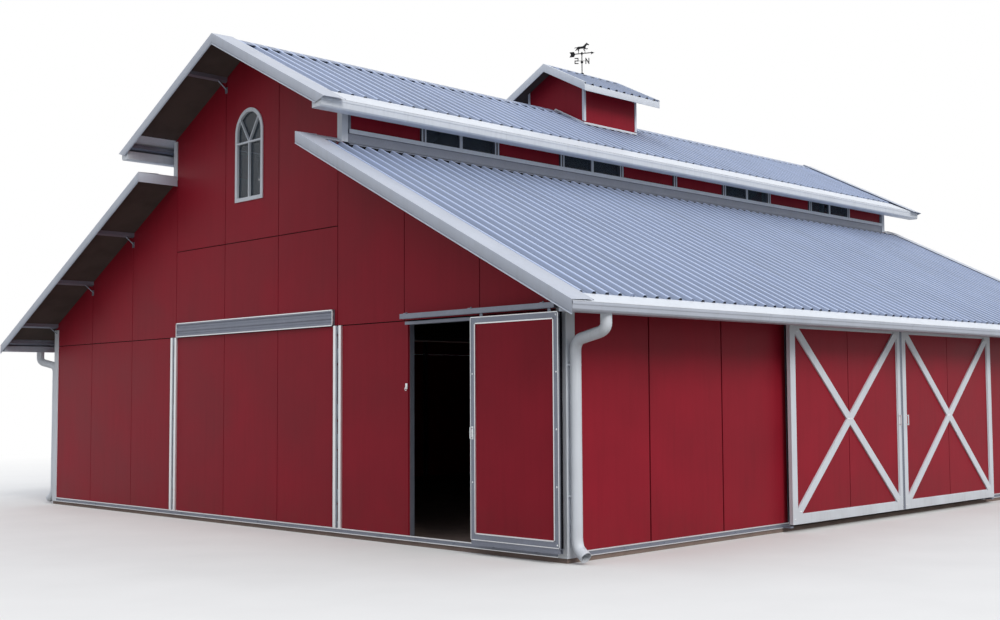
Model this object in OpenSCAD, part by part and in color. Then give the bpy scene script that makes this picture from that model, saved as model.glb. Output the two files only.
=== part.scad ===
// Barn with a raised centre aisle: red panels in a galvanised frame, ribbed metal roofs, white trim.
// +Z is up, the door gable faces -Y, and the origin is the middle of the footprint on the ground.

/* [Plan] */
// Width of one wall panel, the module of the whole plan
panel_w = 1219.2; // [1000:1:1500]
// Panels across each side aisle
aisle_panels = 3; // [2:1:4]
// Panels across the raised centre aisle
centre_panels = 3; // [3:2:5]
// Panels along each end bay
end_panels = 3; // [2:1:4]
// Panels along the middle bay, which holds the pair of side doors
middle_panels = 4; // [4:1:6]
// Thickness of a wall panel
panel_t = 25; // [15:1:40]
// Groove between neighbouring panels
groove = 11; // [2:0.5:16]
// Groove between neighbouring panels of the long walls
side_groove = 20; // [4:0.5:26]

/* [Heights] */
// Height of the floor slab above the ground
slab_h = 45; // [30:1:150]
// Height of the lower row of panels
lower_h = 2363; // [2100:1:2900]
// Height of the second row of panels in the centre bay
second_h = 1158; // [900:1:1250]
// Height of the strip over the lower panels of the long walls, up to the purlin
strip_h = 256; // [180:1:500]
// Height of the windows in the raised side walls
cell_h = 343; // [280:1:600]
// Rise of every roof for each unit of run
slope = 0.5; // [0.45:0.01:0.52]

/* [Roof] */
// Distance from the outer face of the raised walls to the seam line beside it
raised_step = 76; // [60:1:110]
// Depth of the ribbed sheet, measured square to the slope
sheet_d = 38; // [20:1:60]
// Distance that the roofs reach past the gables
gable_reach = 580; // [350:1:900]
// Distance that the low gutters reach past the long walls
low_reach = 640; // [500:1:800]
// Distance that the raised gutters reach past the raised walls
raised_reach = 395; // [340:1:600]
// Vertical depth of the rake trim
rake_d = 143; // [100:1:220]
// Width of the rake trim's top leg
rake_top_w = 290; // [120:1:400]
// Distance from the low rakes' high ends to the outer faces of the raised walls
rake_start = 90; // [30:1:140]
// Thickness of folded trim
trim_t = 12; // [6:1:20]
// Width and depth of a purlin
purlin = 42; // [30:1:60]
// Length of each side of the ridge cap
ridge_cap_w = 150; // [100:1:260]
// Distance from the roofs' outer edges back to the ends of the sheets
edge_in = 236; // [200:1:300]
// Distance from the raised roof's outer edge back to the ends of its sheets
raised_edge_in = 400; // [250:1:420]
// Distance that the raised rakes' tips reach past the gutters
rake_tip = 70; // [0:1:120]
// Reach of the flashing over the low roofs
flashing_w = 45; // [30:1:260]

/* [Gutters] */
// Width of a gutter
gutter_w = 175; // [110:1:200]
// Depth of a gutter
gutter_d = 86; // [70:1:140]
// Depth of the raised gutters
raised_gutter_d = 112; // [80:1:160]
// Thickness of a gutter's metal
gutter_t = 5; // [3:1:10]
// Diameter of a downspout
spout_d = 112; // [75:1:120]
// Length of the upright stub under each low gutter
stub_h = 150; // [110:1:220]
// Fall of the pipe between the stub and the wall
spout_fall = 80; // [40:1:160]
// Reach of the shoe at the foot of each downspout
shoe_reach = 115; // [80:1:160]

/* [Frame] */
// Width and depth of a wall stud
stud = 60; // [40:1:90]
// Width and depth of a main post
post = 100; // [80:1:150]
// Vertical depth of a rafter
rafter_d = 150; // [100:1:220]
// Distance from the top of the low roofs down to the underside of the long beams
beam_drop = 330; // [290:1:400]
// Height of the base channel's top above the slab
base_h = 58; // [40:1:100]
// Width of a corner trim's leg
corner_w = 112; // [80:1:160]
// Width of a leg of the angles on the raised walls' corners
raised_corner_w = 75; // [50:1:120]

/* [Front bay] */
// Width of the jamb channels of the centre bay
jamb_w = 144; // [120:1:220]
// Distance from the panel seam out to the middle of a jamb channel
jamb_shift = 25; // [0:1:40]
// Distance that the jamb channels stand out of the wall
jamb_out = 25; // [20:1:80]
// Height of the ribbed header over the centre bay
header_h = 190; // [120:1:240]
// Distance that the header's ribs stand out of the wall
header_out = 32; // [24:1:45]
// Width of the door frame beside the small doorway
door_jamb_w = 67; // [40:1:100]
// Height of the door frame's head
door_head_h = 44; // [30:1:80]
// Distance from the small leaf's face to the wall
leaf_out = 115; // [95:1:160]
// Thickness of every door leaf
leaf_t = 48; // [35:1:60]
// Width of the small leaf past the module
leaf_lap = 28; // [10:1:60]
// Width of the small leaf's frame
leaf_frame_w = 61; // [40:1:90]
// Height of the small leaf's pull handle above the ground
pull_z = 1216; // [1000:1:1400]
// Height of the latch above the ground
latch_z = 1700; // [1400:1:1900]
// Gap between the open leaf's edge and the panel seam
leaf_shift = 17; // [0:1:60]

/* [Side doors] */
// Width that each side leaf laps past its half of the doorway
side_lap = 92; // [60:1:160]
// Gap between the two closed side leaves
side_gap = 6; // [5:1:12]
// Width of the side leaves' stiles and rails
side_frame_w = 104; // [70:1:150]
// Width of the crossed braces
brace_w = 98; // [60:1:140]
// Width of the side doorway's jambs
side_jamb_w = 40; // [20:1:80]
// Distance from the side leaves' faces to the wall
side_out = 135; // [110:1:170]
// Height of the side leaves above the lower panels
side_over = 45; // [20:1:80]

/* [Windows] */
// Width of the arched window over its frame
arch_w = 630; // [450:1:760]
// Height of the arched window over its frame
arch_h = 1183; // [900:1:1300]
// Distance from the second seam up to the arched window
arch_up = 508; // [300:1:620]
// Distance of the arched window from the middle, towards +X
arch_x = -50; // [-150:1:150]
// Width of the window frame
arch_frame_w = 48; // [30:1:70]
// Thickness of the glass
glass_t = 6; // [4:1:12]
// Width of the posts between the clerestory cells
cell_post_w = 100; // [60:1:140]
// Height of the clerestory's sill above the low roof
sill_up = 108; // [80:1:160]

/* [Cupola] */
// Width and length of the cupola's walls
cupola_w = 1219; // [900:1:1400]
// Distance that the cupola's roof reaches past its walls
cupola_reach = 275; // [150:1:350]
// Height of the cupola's ridge above the main ridge
cupola_h = 700; // [600:1:900]
// Depth of the cupola's roof edge
cupola_edge = 130; // [60:1:160]
// Thickness of the cupola's walls
cupola_t = 22; // [15:1:40]

/* [Weathervane] */
// Diameter of the weathervane's mast
mast_d = 16; // [12:1:24]
// Height of the mast above the cupola's ridge
mast_h = 330; // [260:1:500]
// Length of the arrow
arrow_l = 395; // [300:1:500]
// Length of the horse
horse_l = 262; // [160:1:300]
// Direction in which the arrow points, turned from +X towards +Y
vane_turn = 25; // [0:1:359]
// Clearance between the mast and the vane's hub
hub_gap = 0.5; // [0.2:0.1:1]

/* [Hidden] */

// Overall plan
width_panels = 2 * aisle_panels + centre_panels;
length_panels = 2 * end_panels + middle_panels;
half_w = width_panels * panel_w / 2;
half_l = length_panels * panel_w / 2;
seam_x = centre_panels * panel_w / 2;
raised_x = seam_x + raised_step;
door_y = middle_panels * panel_w / 2;

// Heights of the walls
seam_1 = slab_h + lower_h;
seam_2 = seam_1 + second_h;
sill_t = 50;
top_rail = 40;

// Roof planes, as heights over the distance from the middle
sheet_v = sheet_d * sqrt(1 + slope * slope);
purlin_v = purlin * sqrt(1 + slope * slope);
low_roof_z = seam_1 + strip_h + purlin_v + sheet_v + slope * (half_w - raised_x);
ridge_z = low_roof_z + sill_up + sill_t + cell_h + top_rail + sheet_v + slope * raised_x;
function low_top(x) = low_roof_z - slope * (x - raised_x);
function raised_top(x) = ridge_z - slope * x;
function low_under(x) = low_top(x) - sheet_v;
function raised_under(x) = raised_top(x) - sheet_v;
low_out = half_w + low_reach;
raised_out = raised_x + raised_reach;
low_edge = low_out - edge_in;
raised_edge = raised_out - raised_edge_in;
roof_end = half_l + gable_reach;

base_top = slab_h + base_h;
base_out = 8;
face_in = panel_t + stud;
fit = 0.5;
seat = 0.3;
arch_bottom = seam_2 + arch_up;
arch_r = arch_w / 2;
arch_spring = arch_bottom + arch_h - arch_r;
sill_z = low_roof_z + sill_up;
cell_top = raised_under(raised_x) - top_rail;
clerestory_d = raised_step - stud / 2 - fit;
cell_end = face_in + 40;
low_gutter_z = low_top(low_out) - gutter_d - 10;
raised_gutter_z = raised_top(raised_out) - raised_gutter_d - 10;
side_strip_top = low_under(half_w) - purlin_v - 2;

// Frame
beam_z0 = low_roof_z - beam_drop;
beam_z1 = low_roof_z - sheet_v - 20;
skirt_h = 260;
eave_t = 6;
eave_drop = 24;
raised_drop = 18;
gutter_slant = 21;
gutter_lip = 16;
flashing_t = 8;
rake_up = 14;
low_rake_up = 6;
rake_nip = 42;
rake_point = 180;
reveal = 4;

// Panels of the gables
door_panel = aisle_panels + centre_panels + 1;
middle_panel = (width_panels - 1) / 2;
function in_centre(i) = i >= aisle_panels && i < aisle_panels + centre_panels;

// Doors
hanger_w = 40;
hanger_t = 6;
roller_l = 28;
small_roller_r = 15;
side_roller_r = 16;
doorway_x0 = seam_x + panel_w + door_jamb_w;
doorway_x1 = seam_x + 2 * panel_w - door_jamb_w;
doorway_top = seam_1 - door_head_h;
leaf_w = panel_w + leaf_lap;
leaf_x = seam_x + 2 * panel_w - leaf_shift;
leaf_face = -half_l - leaf_out;
leaf_z0 = base_top + 45;
leaf_z1 = doorway_top + 20;
guide_h = 52;
track_z = seam_1 + 12;
track_h = 54;
track_t = 4;
track_x0 = doorway_x0;
track_x1 = half_w - 40;
side_leaf_w = door_y + side_lap;
side_face = half_w + side_out;
side_z0 = slab_h + 40;
side_z1 = seam_1 + side_over;
side_pull_z = 1228;
brace_t = 20;
side_track_z = side_z1 + 10;
side_track_h = 62;
side_track_end = side_leaf_w + door_y + 20;

// Windows
transom_z = arch_spring - 120;
bar_w = 16;
transom_w = 22;
fan_turn = 34;
mullion_w = 44;
fill_in = 32;
cell = panel_w;
window_cells = [1, 3, 6, 8];
function is_window(i) = len(search(i, window_cells)) > 0;

// Cupola and weathervane
cup = cupola_w / 2;
cup_ridge = ridge_z + cupola_h;
function cup_top(x) = cup_ridge - slope * x;
cup_out = cup + cupola_reach;
cup_sheet_v = 30;
cup_trim_w = 32;
cup_trim_t = 10;
cup_base_h = 30;
arms_z = cup_ridge + mast_h - 118;
arm_l = 76;
arm_turn = 43;
arrow_z = cup_ridge + mast_h;
mast_r = mast_d / 2;
pin_r = mast_r * 0.6;
vane_t = 6;
letter_h = 84;
letter_t = 15;

// Downspouts
spout_r = spout_d / 2;
spout_x = half_w + trim_t + spout_r + 8;
spout_y = -half_l + spout_r - 4;
drop_x = low_out - gutter_w + spout_r + 6;
drop_y = spout_y - 55;
drop_way = [drop_x - spout_x, drop_y - spout_y] / norm([drop_x - spout_x, drop_y - spout_y]);
shoe_z = 130;

// Box between two corners, given as limits on every axis
module block(x0, x1, y0, y1, z0, z1) {
    translate([x0, y0, z0]) cube([x1 - x0, y1 - y0, z1 - z0]);
}

// Runs a profile drawn over X and Z along Y
module along_y(y0, y1) {
    translate([0, y1, 0]) rotate([90, 0, 0]) linear_extrude(y1 - y0) children();
}

// Runs a profile drawn over Y and Z along X
module along_x(x0, x1) {
    translate([x0, 0, 0]) rotate([90, 0, 90]) linear_extrude(x1 - x0) children();
}

// Raises a profile drawn over X and Y from z0 to z1
module along_z(z0, z1) {
    translate([0, 0, z0]) linear_extrude(z1 - z0) children();
}

// Draws both halves of a symmetric piece
module both_sides() {
    for (side = [0, 1]) mirror([side, 0, 0]) children();
}

// Draws a piece at the door gable and at the rear gable
module both_ends() {
    for (end = [0, 1]) mirror([0, end, 0]) children();
}

// Band of one thickness that follows a roof plane from x0 to x1
module roof_band(x0, x1, z0, z1, d) {
    polygon([[x0, z0], [x1, z1], [x1, z1 - d], [x0, z0 - d]]);
}

// Band at a distance above the low roof's top
module low_band(x0, x1, up, d) {
    roof_band(x0, x1, low_top(x0) + up, low_top(x1) + up, d);
}

// Band at a distance above the raised roof's top
module raised_band(x0, x1, up, d) {
    roof_band(x0, x1, raised_top(x0) + up, raised_top(x1) + up, d);
}

// Section of the space under the roofs, lowered by a distance
module under_roofs(down) {
    for (side = [0, 1]) mirror([side, 0]) {
        polygon([[-fit, 0], [raised_x, 0], [raised_x, raised_under(raised_x) - down],
            [0, raised_under(0) - down], [-fit, raised_under(0) - down]]);
        polygon([[raised_x - 1, 0], [half_w, 0], [half_w, low_under(half_w) - down],
            [raised_x - 1, low_under(raised_x - 1) - down]]);
    }
}

// Distances of the low roof's purlins from the middle
function low_purlins() = concat(
    [for (i = [1:aisle_panels]) seam_x + i * panel_w - (i == aisle_panels ? stud : 0)],
    [low_out - gutter_w - purlin]);

// Purlins of both sides, drawn over X and Z, with room around them
module purlin_sections(room) {
    reach = purlin / 2 + room;
    up = room - sheet_v - seat;
    for (side = [0, 1]) mirror([side, 0]) {
        for (x = low_purlins())
            low_band(x - reach, x + reach, up, purlin_v + 2 * room);
        for (x = [panel_w / 2, raised_out - gutter_w - purlin])
            raised_band(x - reach, x + reach, up, purlin_v + 2 * room);
    }
}

// Concrete slab down to the ground
module floor_slab() {
    color("#9C9184")
        block(-half_w, half_w, -half_l, half_l, 0, slab_h);
}

// Folded channel that holds the foot of every panel
module base_channel() {
    end_x = half_w - corner_w - fit;
    end_y = half_l - corner_w - fit;
    color("#B4B8BB") {
        both_ends() block(-end_x, end_x, -half_l - base_out, -half_l, slab_h, base_top);
        mirror([1, 0, 0]) block(half_w, half_w + base_out, -end_y, end_y, slab_h, base_top);
        both_ends() block(half_w, half_w + base_out, -end_y, -door_y, slab_h, base_top);
    }
}

// Plan of an angle with legs of width w over a corner of the walls at x
module corner_angle(x, w) {
    polygon([[x - w, -half_l], [x, -half_l], [x, -half_l + w], [x + trim_t, -half_l + w],
        [x + trim_t, -half_l - trim_t], [x - w, -half_l - trim_t]]);
}

// White angles over the corners of the low walls and of the raised ones
module corner_trim() {
    color("#E9ECEE") both_ends() both_sides() {
        along_z(slab_h, low_under(half_w + trim_t) - purlin_v - 1)
            corner_angle(half_w, corner_w);
        along_z(low_roof_z + 2, raised_under(raised_x + trim_t) - 1)
            corner_angle(raised_x, raised_corner_w);
    }
}

// Main posts: corners, aisle lines at the gables, and both rows at the middle bay
module frame_posts() {
    outer_x = half_w - panel_t - post;
    inner_x = raised_x - clerestory_d - post;
    outer_top = low_under(outer_x + post) - purlin_v - 1;
    gable_y = -half_l + panel_t;
    color("#8E9499") both_sides() both_ends() {
        block(outer_x, outer_x + post, gable_y, gable_y + post, slab_h, outer_top);
        block(outer_x, outer_x + post, -door_y - post, -door_y, slab_h, outer_top);
        block(inner_x, inner_x + post, -door_y - post, -door_y, slab_h, beam_z0);
    }
}

// Long beams under the raised walls, from gable to gable
module frame_beams() {
    color("#8E9499") both_sides() block(raised_x - clerestory_d - post, raised_x - clerestory_d,
        -half_l + face_in + fit, half_l - face_in - fit, beam_z0, beam_z1);
}

// Straight rafters at both ends of the middle bay, with short posts under the raised ones
module rafters() {
    outer_x = half_w - panel_t - post;
    down = sheet_v + purlin_v + 2 * seat;
    x1 = raised_x - clerestory_d;
    x0 = x1 - post;
    y = -door_y - post;
    color("#8E9499") both_ends() both_sides() along_y(y, y + post) {
        low_band(raised_x + seat, outer_x - seat, -down, rafter_d);
        raised_band(seat / 2, x1, -down, rafter_d);
        polygon([[x0, beam_z1 + seat], [x1, beam_z1 + seat],
            [x1, raised_top(x1) - down - rafter_d - seat],
            [x0, raised_top(x0) - down - rafter_d - seat]]);
    }
}

// Studs behind the seams of every wall
module wall_studs() {
    color("#8E9499") {
        both_ends() intersection() {
            for (i = [1:width_panels - 1]) gable_stud(-half_w + i * panel_w);
            along_y(-half_l + panel_t, -half_l + face_in) under_roofs(purlin_v + 1);
        }
        for (i = [1:length_panels - 1], side = [0, 1]) {
            y = -half_l + i * panel_w;
            if (abs(abs(y) - door_y) > 1 && (side == 1 || abs(y) > door_y)) mirror([side, 0, 0])
                block(half_w - face_in, half_w - panel_t, y - stud / 2, y + stud / 2, slab_h,
                    low_under(half_w) - purlin_v - 1);
        }
    }
}

// Stud of a gable, before it is cut to the roofs
module gable_stud(x) {
    block(x - stud / 2, x + stud / 2, -half_l + panel_t, -half_l + face_in, slab_h, ridge_z);
}

// Rails behind the panel seams, between the studs
module wall_girts() {
    y0 = -half_l + panel_t;
    y1 = -half_l + face_in;
    color("#8E9499") both_ends() for (i = [0:width_panels - 1]) {
        x = -half_w + i * panel_w;
        x0 = fit + (i == 0 ? x + panel_t + post : x + stud / 2);
        x1 = x + panel_w - fit - (i == width_panels - 1 ? panel_t + post : stud / 2);
        block(x0, x1, y0, y1, seam_1, seam_1 + stud);
        if (in_centre(i))
            block(x0, x1, y0, y1, seam_2 - stud / 2, seam_2 + stud / 2);
    }
}

// Long bars under the roof sheets, from rake to rake
module purlins() {
    color("#A2A8AC")
        along_y(-roof_end + trim_t + fit, roof_end - trim_t - fit) purlin_sections(0);
}

// One red panel, with half a groove off each side and more width on the left or on the right
module front_panel(i, z0, z1, left = 0, right = 0) {
    x = -half_w + i * panel_w;
    block(x + (i == 0 ? 0 : groove / 2) - left, x + panel_w - (i == width_panels - 1 ? 0 : groove / 2) + right,
        -half_l, -half_l + panel_t, z0, z1);
}

// Lower row of the door gable, whose panels beside the small doorway reach up to its edges
module front_wall_lower() {
    reach = door_jamb_w + groove / 2 - reveal;
    color("#7E1F28") for (i = [0:width_panels - 1]) if (i != door_panel)
        front_panel(i, slab_h, seam_1 - groove / 2, i == door_panel + 1 ? reach : 0,
            i == door_panel - 1 ? reach : 0);
}

// Upper panels of a gable, cut to the roofs and notched round the purlins
module gable_upper(skip) {
    difference() {
        intersection() {
            for (i = [0:width_panels - 1]) {
                if (in_centre(i)) {
                    front_panel(i, seam_1 + groove / 2, seam_2 - groove / 2);
                    if (i != skip) front_panel(i, seam_2 + groove / 2, ridge_z);
                } else
                    front_panel(i, seam_1 + groove / 2, ridge_z);
            }
            along_y(-half_l - 1, -half_l + panel_t + 1) under_roofs(0.3);
        }
        along_y(-half_l - 2, -half_l + panel_t + 2) purlin_sections(0.5);
    }
}

// Upper rows of the door gable, without the panel round the arched window
module front_wall_upper() {
    color("#7E1F28") gable_upper(middle_panel);
}

// Outline of the arched window, smaller by an inset all round
module arch_outline(inset) {
    translate([0, arch_spring]) intersection() {
        circle(arch_r - inset, $fn = 96);
        translate([-arch_r, 0]) square([2 * arch_r, arch_r]);
    }
    translate([-arch_r + inset, arch_bottom + inset])
        square([2 * (arch_r - inset), arch_spring - arch_bottom - inset + 0.01]);
}

// The panel that the arched window is cut through
module window_panel() {
    color("#7E1F28") difference() {
        intersection() {
            front_panel(middle_panel, seam_2 + groove / 2, ridge_z);
            along_y(-half_l - 1, -half_l + panel_t + 1) under_roofs(0.3);
        }
        along_y(-half_l - 2, -half_l + panel_t + 2) purlin_sections(0.5);
        translate([arch_x, 0, 0]) along_y(-half_l - 2, -half_l + panel_t + 2) arch_outline(-seat);
    }
}

// Lower row of the rear gable, which has no openings
module rear_wall_lower() {
    color("#7E1F28") mirror([0, 1, 0])
        for (i = [0:width_panels - 1]) front_panel(i, slab_h, seam_1 - groove / 2);
}

// Upper rows of the rear gable
module rear_wall_upper() {
    color("#7E1F28") mirror([0, 1, 0]) gable_upper(-1);
}

// One panel of a long wall, clear of the gables at the corners
module side_panel(i, z0, z1) {
    y = -half_l + i * panel_w;
    y0 = y + (i == 0 ? panel_t + fit : side_groove / 2);
    y1 = y + panel_w - (i == length_panels - 1 ? panel_t + fit : side_groove / 2);
    block(half_w - panel_t, half_w, y0, y1, z0, z1);
}

// Left long wall: lower panels and the strips over them
module left_wall() {
    color("#8C1E24") mirror([1, 0, 0]) for (i = [0:length_panels - 1]) {
        side_panel(i, slab_h, seam_1 - groove / 2);
        side_panel(i, seam_1 + groove / 2, side_strip_top);
    }
}

// Right long wall, open in the middle bay up to the strips
module right_wall() {
    color("#8C1E24") for (i = [0:length_panels - 1]) {
        if (i < end_panels || i >= end_panels + middle_panels)
            side_panel(i, slab_h, seam_1 - groove / 2);
        side_panel(i, seam_1 + groove / 2, side_strip_top);
    }
}

// Slotted channels on the gable, beside the centre bay
module centre_jambs() {
    x = seam_x + jamb_shift;
    color("#A7ACB0") both_sides()
        block(x - jamb_w / 2, x + jamb_w / 2, -half_l - jamb_out, -half_l, base_top + fit, seam_1);
}

// Ribbed header across the centre bay
module centre_header() {
    rib = header_h / 5;
    out = -half_l - header_out;
    dip = out + 14;
    end_x = seam_x + jamb_shift - jamb_w / 2 - 6;
    color("#9EA5AA") along_x(-end_x, end_x) polygon([[-half_l, seam_1 + fit], [out, seam_1 + fit],
        [out, seam_1 + rib], [dip, seam_1 + 1.4 * rib], [dip, seam_1 + 1.9 * rib],
        [out + 2, seam_1 + 2.3 * rib], [out + 2, seam_1 + 3 * rib], [dip, seam_1 + 3.4 * rib],
        [dip, seam_1 + 4 * rib], [out, seam_1 + 4.3 * rib], [out, seam_1 + header_h],
        [-half_l, seam_1 + header_h]]);
}

// Galvanised frame of the small doorway: jambs behind the panels, and a head that shows over it
module front_door_frame() {
    x0 = seam_x + panel_w + stud / 2 + fit;
    x1 = seam_x + 2 * panel_w - stud / 2 - fit;
    front = -half_l - hanger_t;
    y0 = -half_l + panel_t;
    y1 = -half_l + face_in;
    lap = 50;
    color("#8E9499") {
        block(x0, doorway_x0, y0, y1, slab_h, doorway_top);
        block(doorway_x1, x1, y0, y1, slab_h, doorway_top);
        block(x0, x1, y0, y1, doorway_top, seam_1 - fit);
        block(doorway_x0, doorway_x1, front, y0, doorway_top, seam_1 - groove);
        block(doorway_x0 - lap, doorway_x1 + lap, front, -half_l - seat, doorway_top, seam_1 - groove);
    }
}

// Box rail over the doorway, on brackets from the wall
module front_door_track() {
    y0 = leaf_face - 4;
    y1 = leaf_face + leaf_t + 4;
    mid = (y0 + y1) / 2;
    top = track_z + track_h;
    color("#B9BEC2") {
        difference() {
            block(track_x0, track_x1, y0, y1, track_z, top);
            block(track_x0 - 1, track_x1 + 1, y0 + track_t, y1 - track_t, track_z + track_t, top - track_t);
            block(track_x0 - 1, track_x1 + 1, mid - 8, mid + 8, track_z - 8, track_z + track_t + 2);
        }
        for (i = [0:2]) {
            x = track_x0 + 60 + i * (track_x1 - track_x0 - 250) / 2;
            block(x, x + hanger_w, y0, y1, top + 0.01, top + hanger_t);
            block(x, x + hanger_w, y1, -half_l, top - 8, top + hanger_t);
        }
    }
}

// Frame of the small sliding leaf, with its guide channel below and its hanger straps above
module front_leaf_frame() {
    x0 = leaf_x;
    x1 = leaf_x + leaf_w;
    f = leaf_frame_w;
    y1 = leaf_face + leaf_t;
    mid = leaf_face + leaf_t / 2;
    color("#B4B9BD") {
        difference() {
            block(x0, x1, leaf_face, y1, leaf_z0, leaf_z1);
            block(x0 + f, x1 - f, leaf_face - 1, y1 + 1, leaf_z0 + f, leaf_z1 - f);
        }
        difference() {
            block(x0, x1, leaf_face + 6, y1, leaf_z0 - guide_h, leaf_z0);
            block(x0 - 1, x1 + 1, leaf_face + 12, y1 - 6, leaf_z0 - guide_h - 1, leaf_z0 - 8);
        }
        for (x = [x0 + 120, x1 - 160]) {
            block(x, x + hanger_w, mid - hanger_t / 2, mid + hanger_t / 2, leaf_z1 - 1, track_z + 16);
            translate([x + hanger_w / 2, mid - roller_l / 2, track_z + track_t + small_roller_r + seat])
                rotate([-90, 0, 0]) cylinder(h = roller_l, r = small_roller_r, $fn = 48);
        }
    }
}

// Red sheet inside the small leaf's frame
module front_leaf_panel() {
    f = leaf_frame_w;
    color("#7E1F28")
        block(leaf_x + f, leaf_x + leaf_w - f, leaf_face + 12, leaf_face + 32, leaf_z0 + f, leaf_z1 - f);
}

// Pull handle: a flat plate with a bowed grip
module pull(len) {
    translate([-2, 0, -len / 2]) block(0, 2, -14, 14, 0, len);
    for (z = [-len / 2 + 14, len / 2 - 26]) block(0, 30, -5, 5, z, z + 12);
    block(24, 32, -7, 7, -len / 2 + 8, len / 2 - 8);
}

// Pull on the small leaf's edge beside the doorway
module front_leaf_pull() {
    color("#C9CDD0") translate([leaf_x + leaf_frame_w / 2, leaf_face - 2, pull_z])
        rotate([0, 0, -90]) pull(130);
}

// Latch plate with its short bar, on the panel beside the doorway
module door_latch() {
    color("#C9CDD0") translate([doorway_x0 - 25, -half_l - seat, latch_z]) {
        block(-18, 18, -6, 0, -30, 30);
        block(-6, 30, -16, -6, -8, 8);
    }
}

// Posts and head around the wide side doorway
module side_door_frame() {
    color("#8E9499") {
        both_ends()
            block(half_w - face_in, half_w + 4, -door_y, -door_y + side_jamb_w, slab_h, seam_1);
        block(half_w - face_in, half_w - panel_t, -door_y + seat, door_y - seat, seam_1 + seat, seam_1 + 90);
    }
}

// Box rail of the side doors, on angle brackets from the long wall
module side_door_track() {
    x0 = side_face - leaf_t - 4;
    x1 = side_face + 4;
    mid = (x0 + x1) / 2;
    end = side_track_end;
    top = side_track_z + side_track_h;
    color("#E3E7EA") {
        difference() {
            block(x0, x1, -end, end, side_track_z, top);
            block(x0 + track_t, x1 - track_t, -end - 1, end + 1, side_track_z + track_t, top - track_t);
            block(mid - 8, mid + 8, -end - 1, end + 1, side_track_z - 1, side_track_z + track_t + 2);
        }
        for (i = [0:6]) {
            y = -end + 100 + i * (2 * end - 240) / 6;
            block(half_w, x0 + 10, y, y + hanger_w, top, top + 8);
            block(half_w, half_w + hanger_t, y, y + hanger_w, side_track_z, top + 8);
        }
    }
}

// Feet that guide the bottom edges of the side leaves
module side_door_guides() {
    color("#A7ACB0") both_ends()
        block(half_w + base_out, side_face - leaf_t / 2 + 5, -side_leaf_w - 30, -side_leaf_w + 30,
            slab_h + 4, slab_h + 24);
}

// Frame of one side leaf: stiles, rails, middle stile and crossed braces
module side_leaf_frame() {
    y0 = -side_leaf_w - side_gap / 2;
    y1 = -side_gap / 2;
    x0 = side_face - leaf_t;
    f = side_frame_w;
    mid = side_face - leaf_t / 2;
    color("#EDEFF0") {
        along_x(x0, side_face) difference() {
            translate([y0, side_z0]) square([y1 - y0, side_z1 - side_z0]);
            translate([y0 + f, side_z0 + f]) square([y1 - y0 - 2 * f, side_z1 - side_z0 - 2 * f]);
        }
        along_x(side_face - brace_t, side_face) intersection() {
            translate([y0 + f / 2, side_z0 + f / 2]) square([y1 - y0 - f, side_z1 - side_z0 - f]);
            union() {
                brace(y0 + f, side_z0 + f, y1 - f, side_z1 - f);
                brace(y0 + f, side_z1 - f, y1 - f, side_z0 + f);
            }
        }
        for (y = [y0 + 300, y1 - 340]) {
            block(mid - hanger_t / 2, mid + hanger_t / 2, y, y + hanger_w, side_z1 - 1, side_track_z + 20);
            translate([mid - roller_l / 2, y + hanger_w / 2, side_track_z + track_t + side_roller_r + seat])
                rotate([0, 90, 0]) cylinder(h = roller_l, r = side_roller_r, $fn = 48);
        }
    }
}

// Straight bar between two points of a leaf
module brace(ya, za, yb, zb) {
    angle = atan2(zb - za, yb - ya);
    reach = norm([yb - ya, zb - za]) + brace_w;
    translate([(ya + yb) / 2, (za + zb) / 2]) rotate(angle) square([reach, brace_w], center = true);
}

// Two red panels behind the braces of one side leaf
module side_leaf_panels() {
    y0 = -side_leaf_w - side_gap / 2 + side_frame_w;
    y1 = -side_gap / 2 - side_frame_w;
    mid = (y0 + y1) / 2;
    x0 = side_face - leaf_t + 6;
    x1 = side_face - brace_t - seat;
    z0 = side_z0 + side_frame_w;
    z1 = side_z1 - side_frame_w;
    color("#8C1E24") {
        block(x0, x1, y0, mid - groove / 2, z0, z1);
        block(x0, x1, mid + groove / 2, y1, z0, z1);
    }
}

// Pull on the edge where the two side leaves meet
module side_leaf_pull() {
    color("#9AA0A5") translate([side_face + 2, -side_gap / 2 - side_frame_w + 14, side_pull_z])
        pull(150);
}

// The near leaf opens towards the door gable, and the far one is its mirror image
module near_leaf_frame() side_leaf_frame();
module near_leaf_panels() side_leaf_panels();
module near_leaf_pull() side_leaf_pull();
module far_leaf_frame() mirror([0, 1, 0]) side_leaf_frame();
module far_leaf_panels() mirror([0, 1, 0]) side_leaf_panels();
module far_leaf_pull() mirror([0, 1, 0]) side_leaf_pull();

// Sill, posts and top rail that hold one raised side wall's cells
module clerestory_frame() {
    x0 = raised_x - clerestory_d;
    ya = -half_l + face_in + fit;
    yb = half_l - face_in - fit;
    post_top = cell_top + 10;
    color("#C3C8CC") {
        block(x0 + fit, raised_x, ya, yb, low_roof_z - sheet_v - skirt_h, sill_z);
        block(x0 + fit, raised_x + 20, ya, yb, sill_z, sill_z + sill_t);
        along_y(ya, yb) polygon([[x0 + fit, cell_top], [raised_x, cell_top],
            [raised_x, raised_under(raised_x) - seat], [x0 + fit, raised_under(raised_x) - seat]]);
        for (i = [1:length_panels - 1]) {
            y = -half_l + i * cell;
            block(x0 + fit, raised_x, y - cell_post_w / 2, y + cell_post_w / 2, sill_z, post_top);
        }
        both_ends() block(x0 + fit, raised_x, ya, -half_l + cell_end, sill_z, post_top);
        for (i = window_cells) {
            y = -half_l + (i + 0.5) * cell;
            block(x0 + 8, raised_x - 4, y - mullion_w / 2, y + mullion_w / 2, sill_z, post_top);
        }
    }
}

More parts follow.
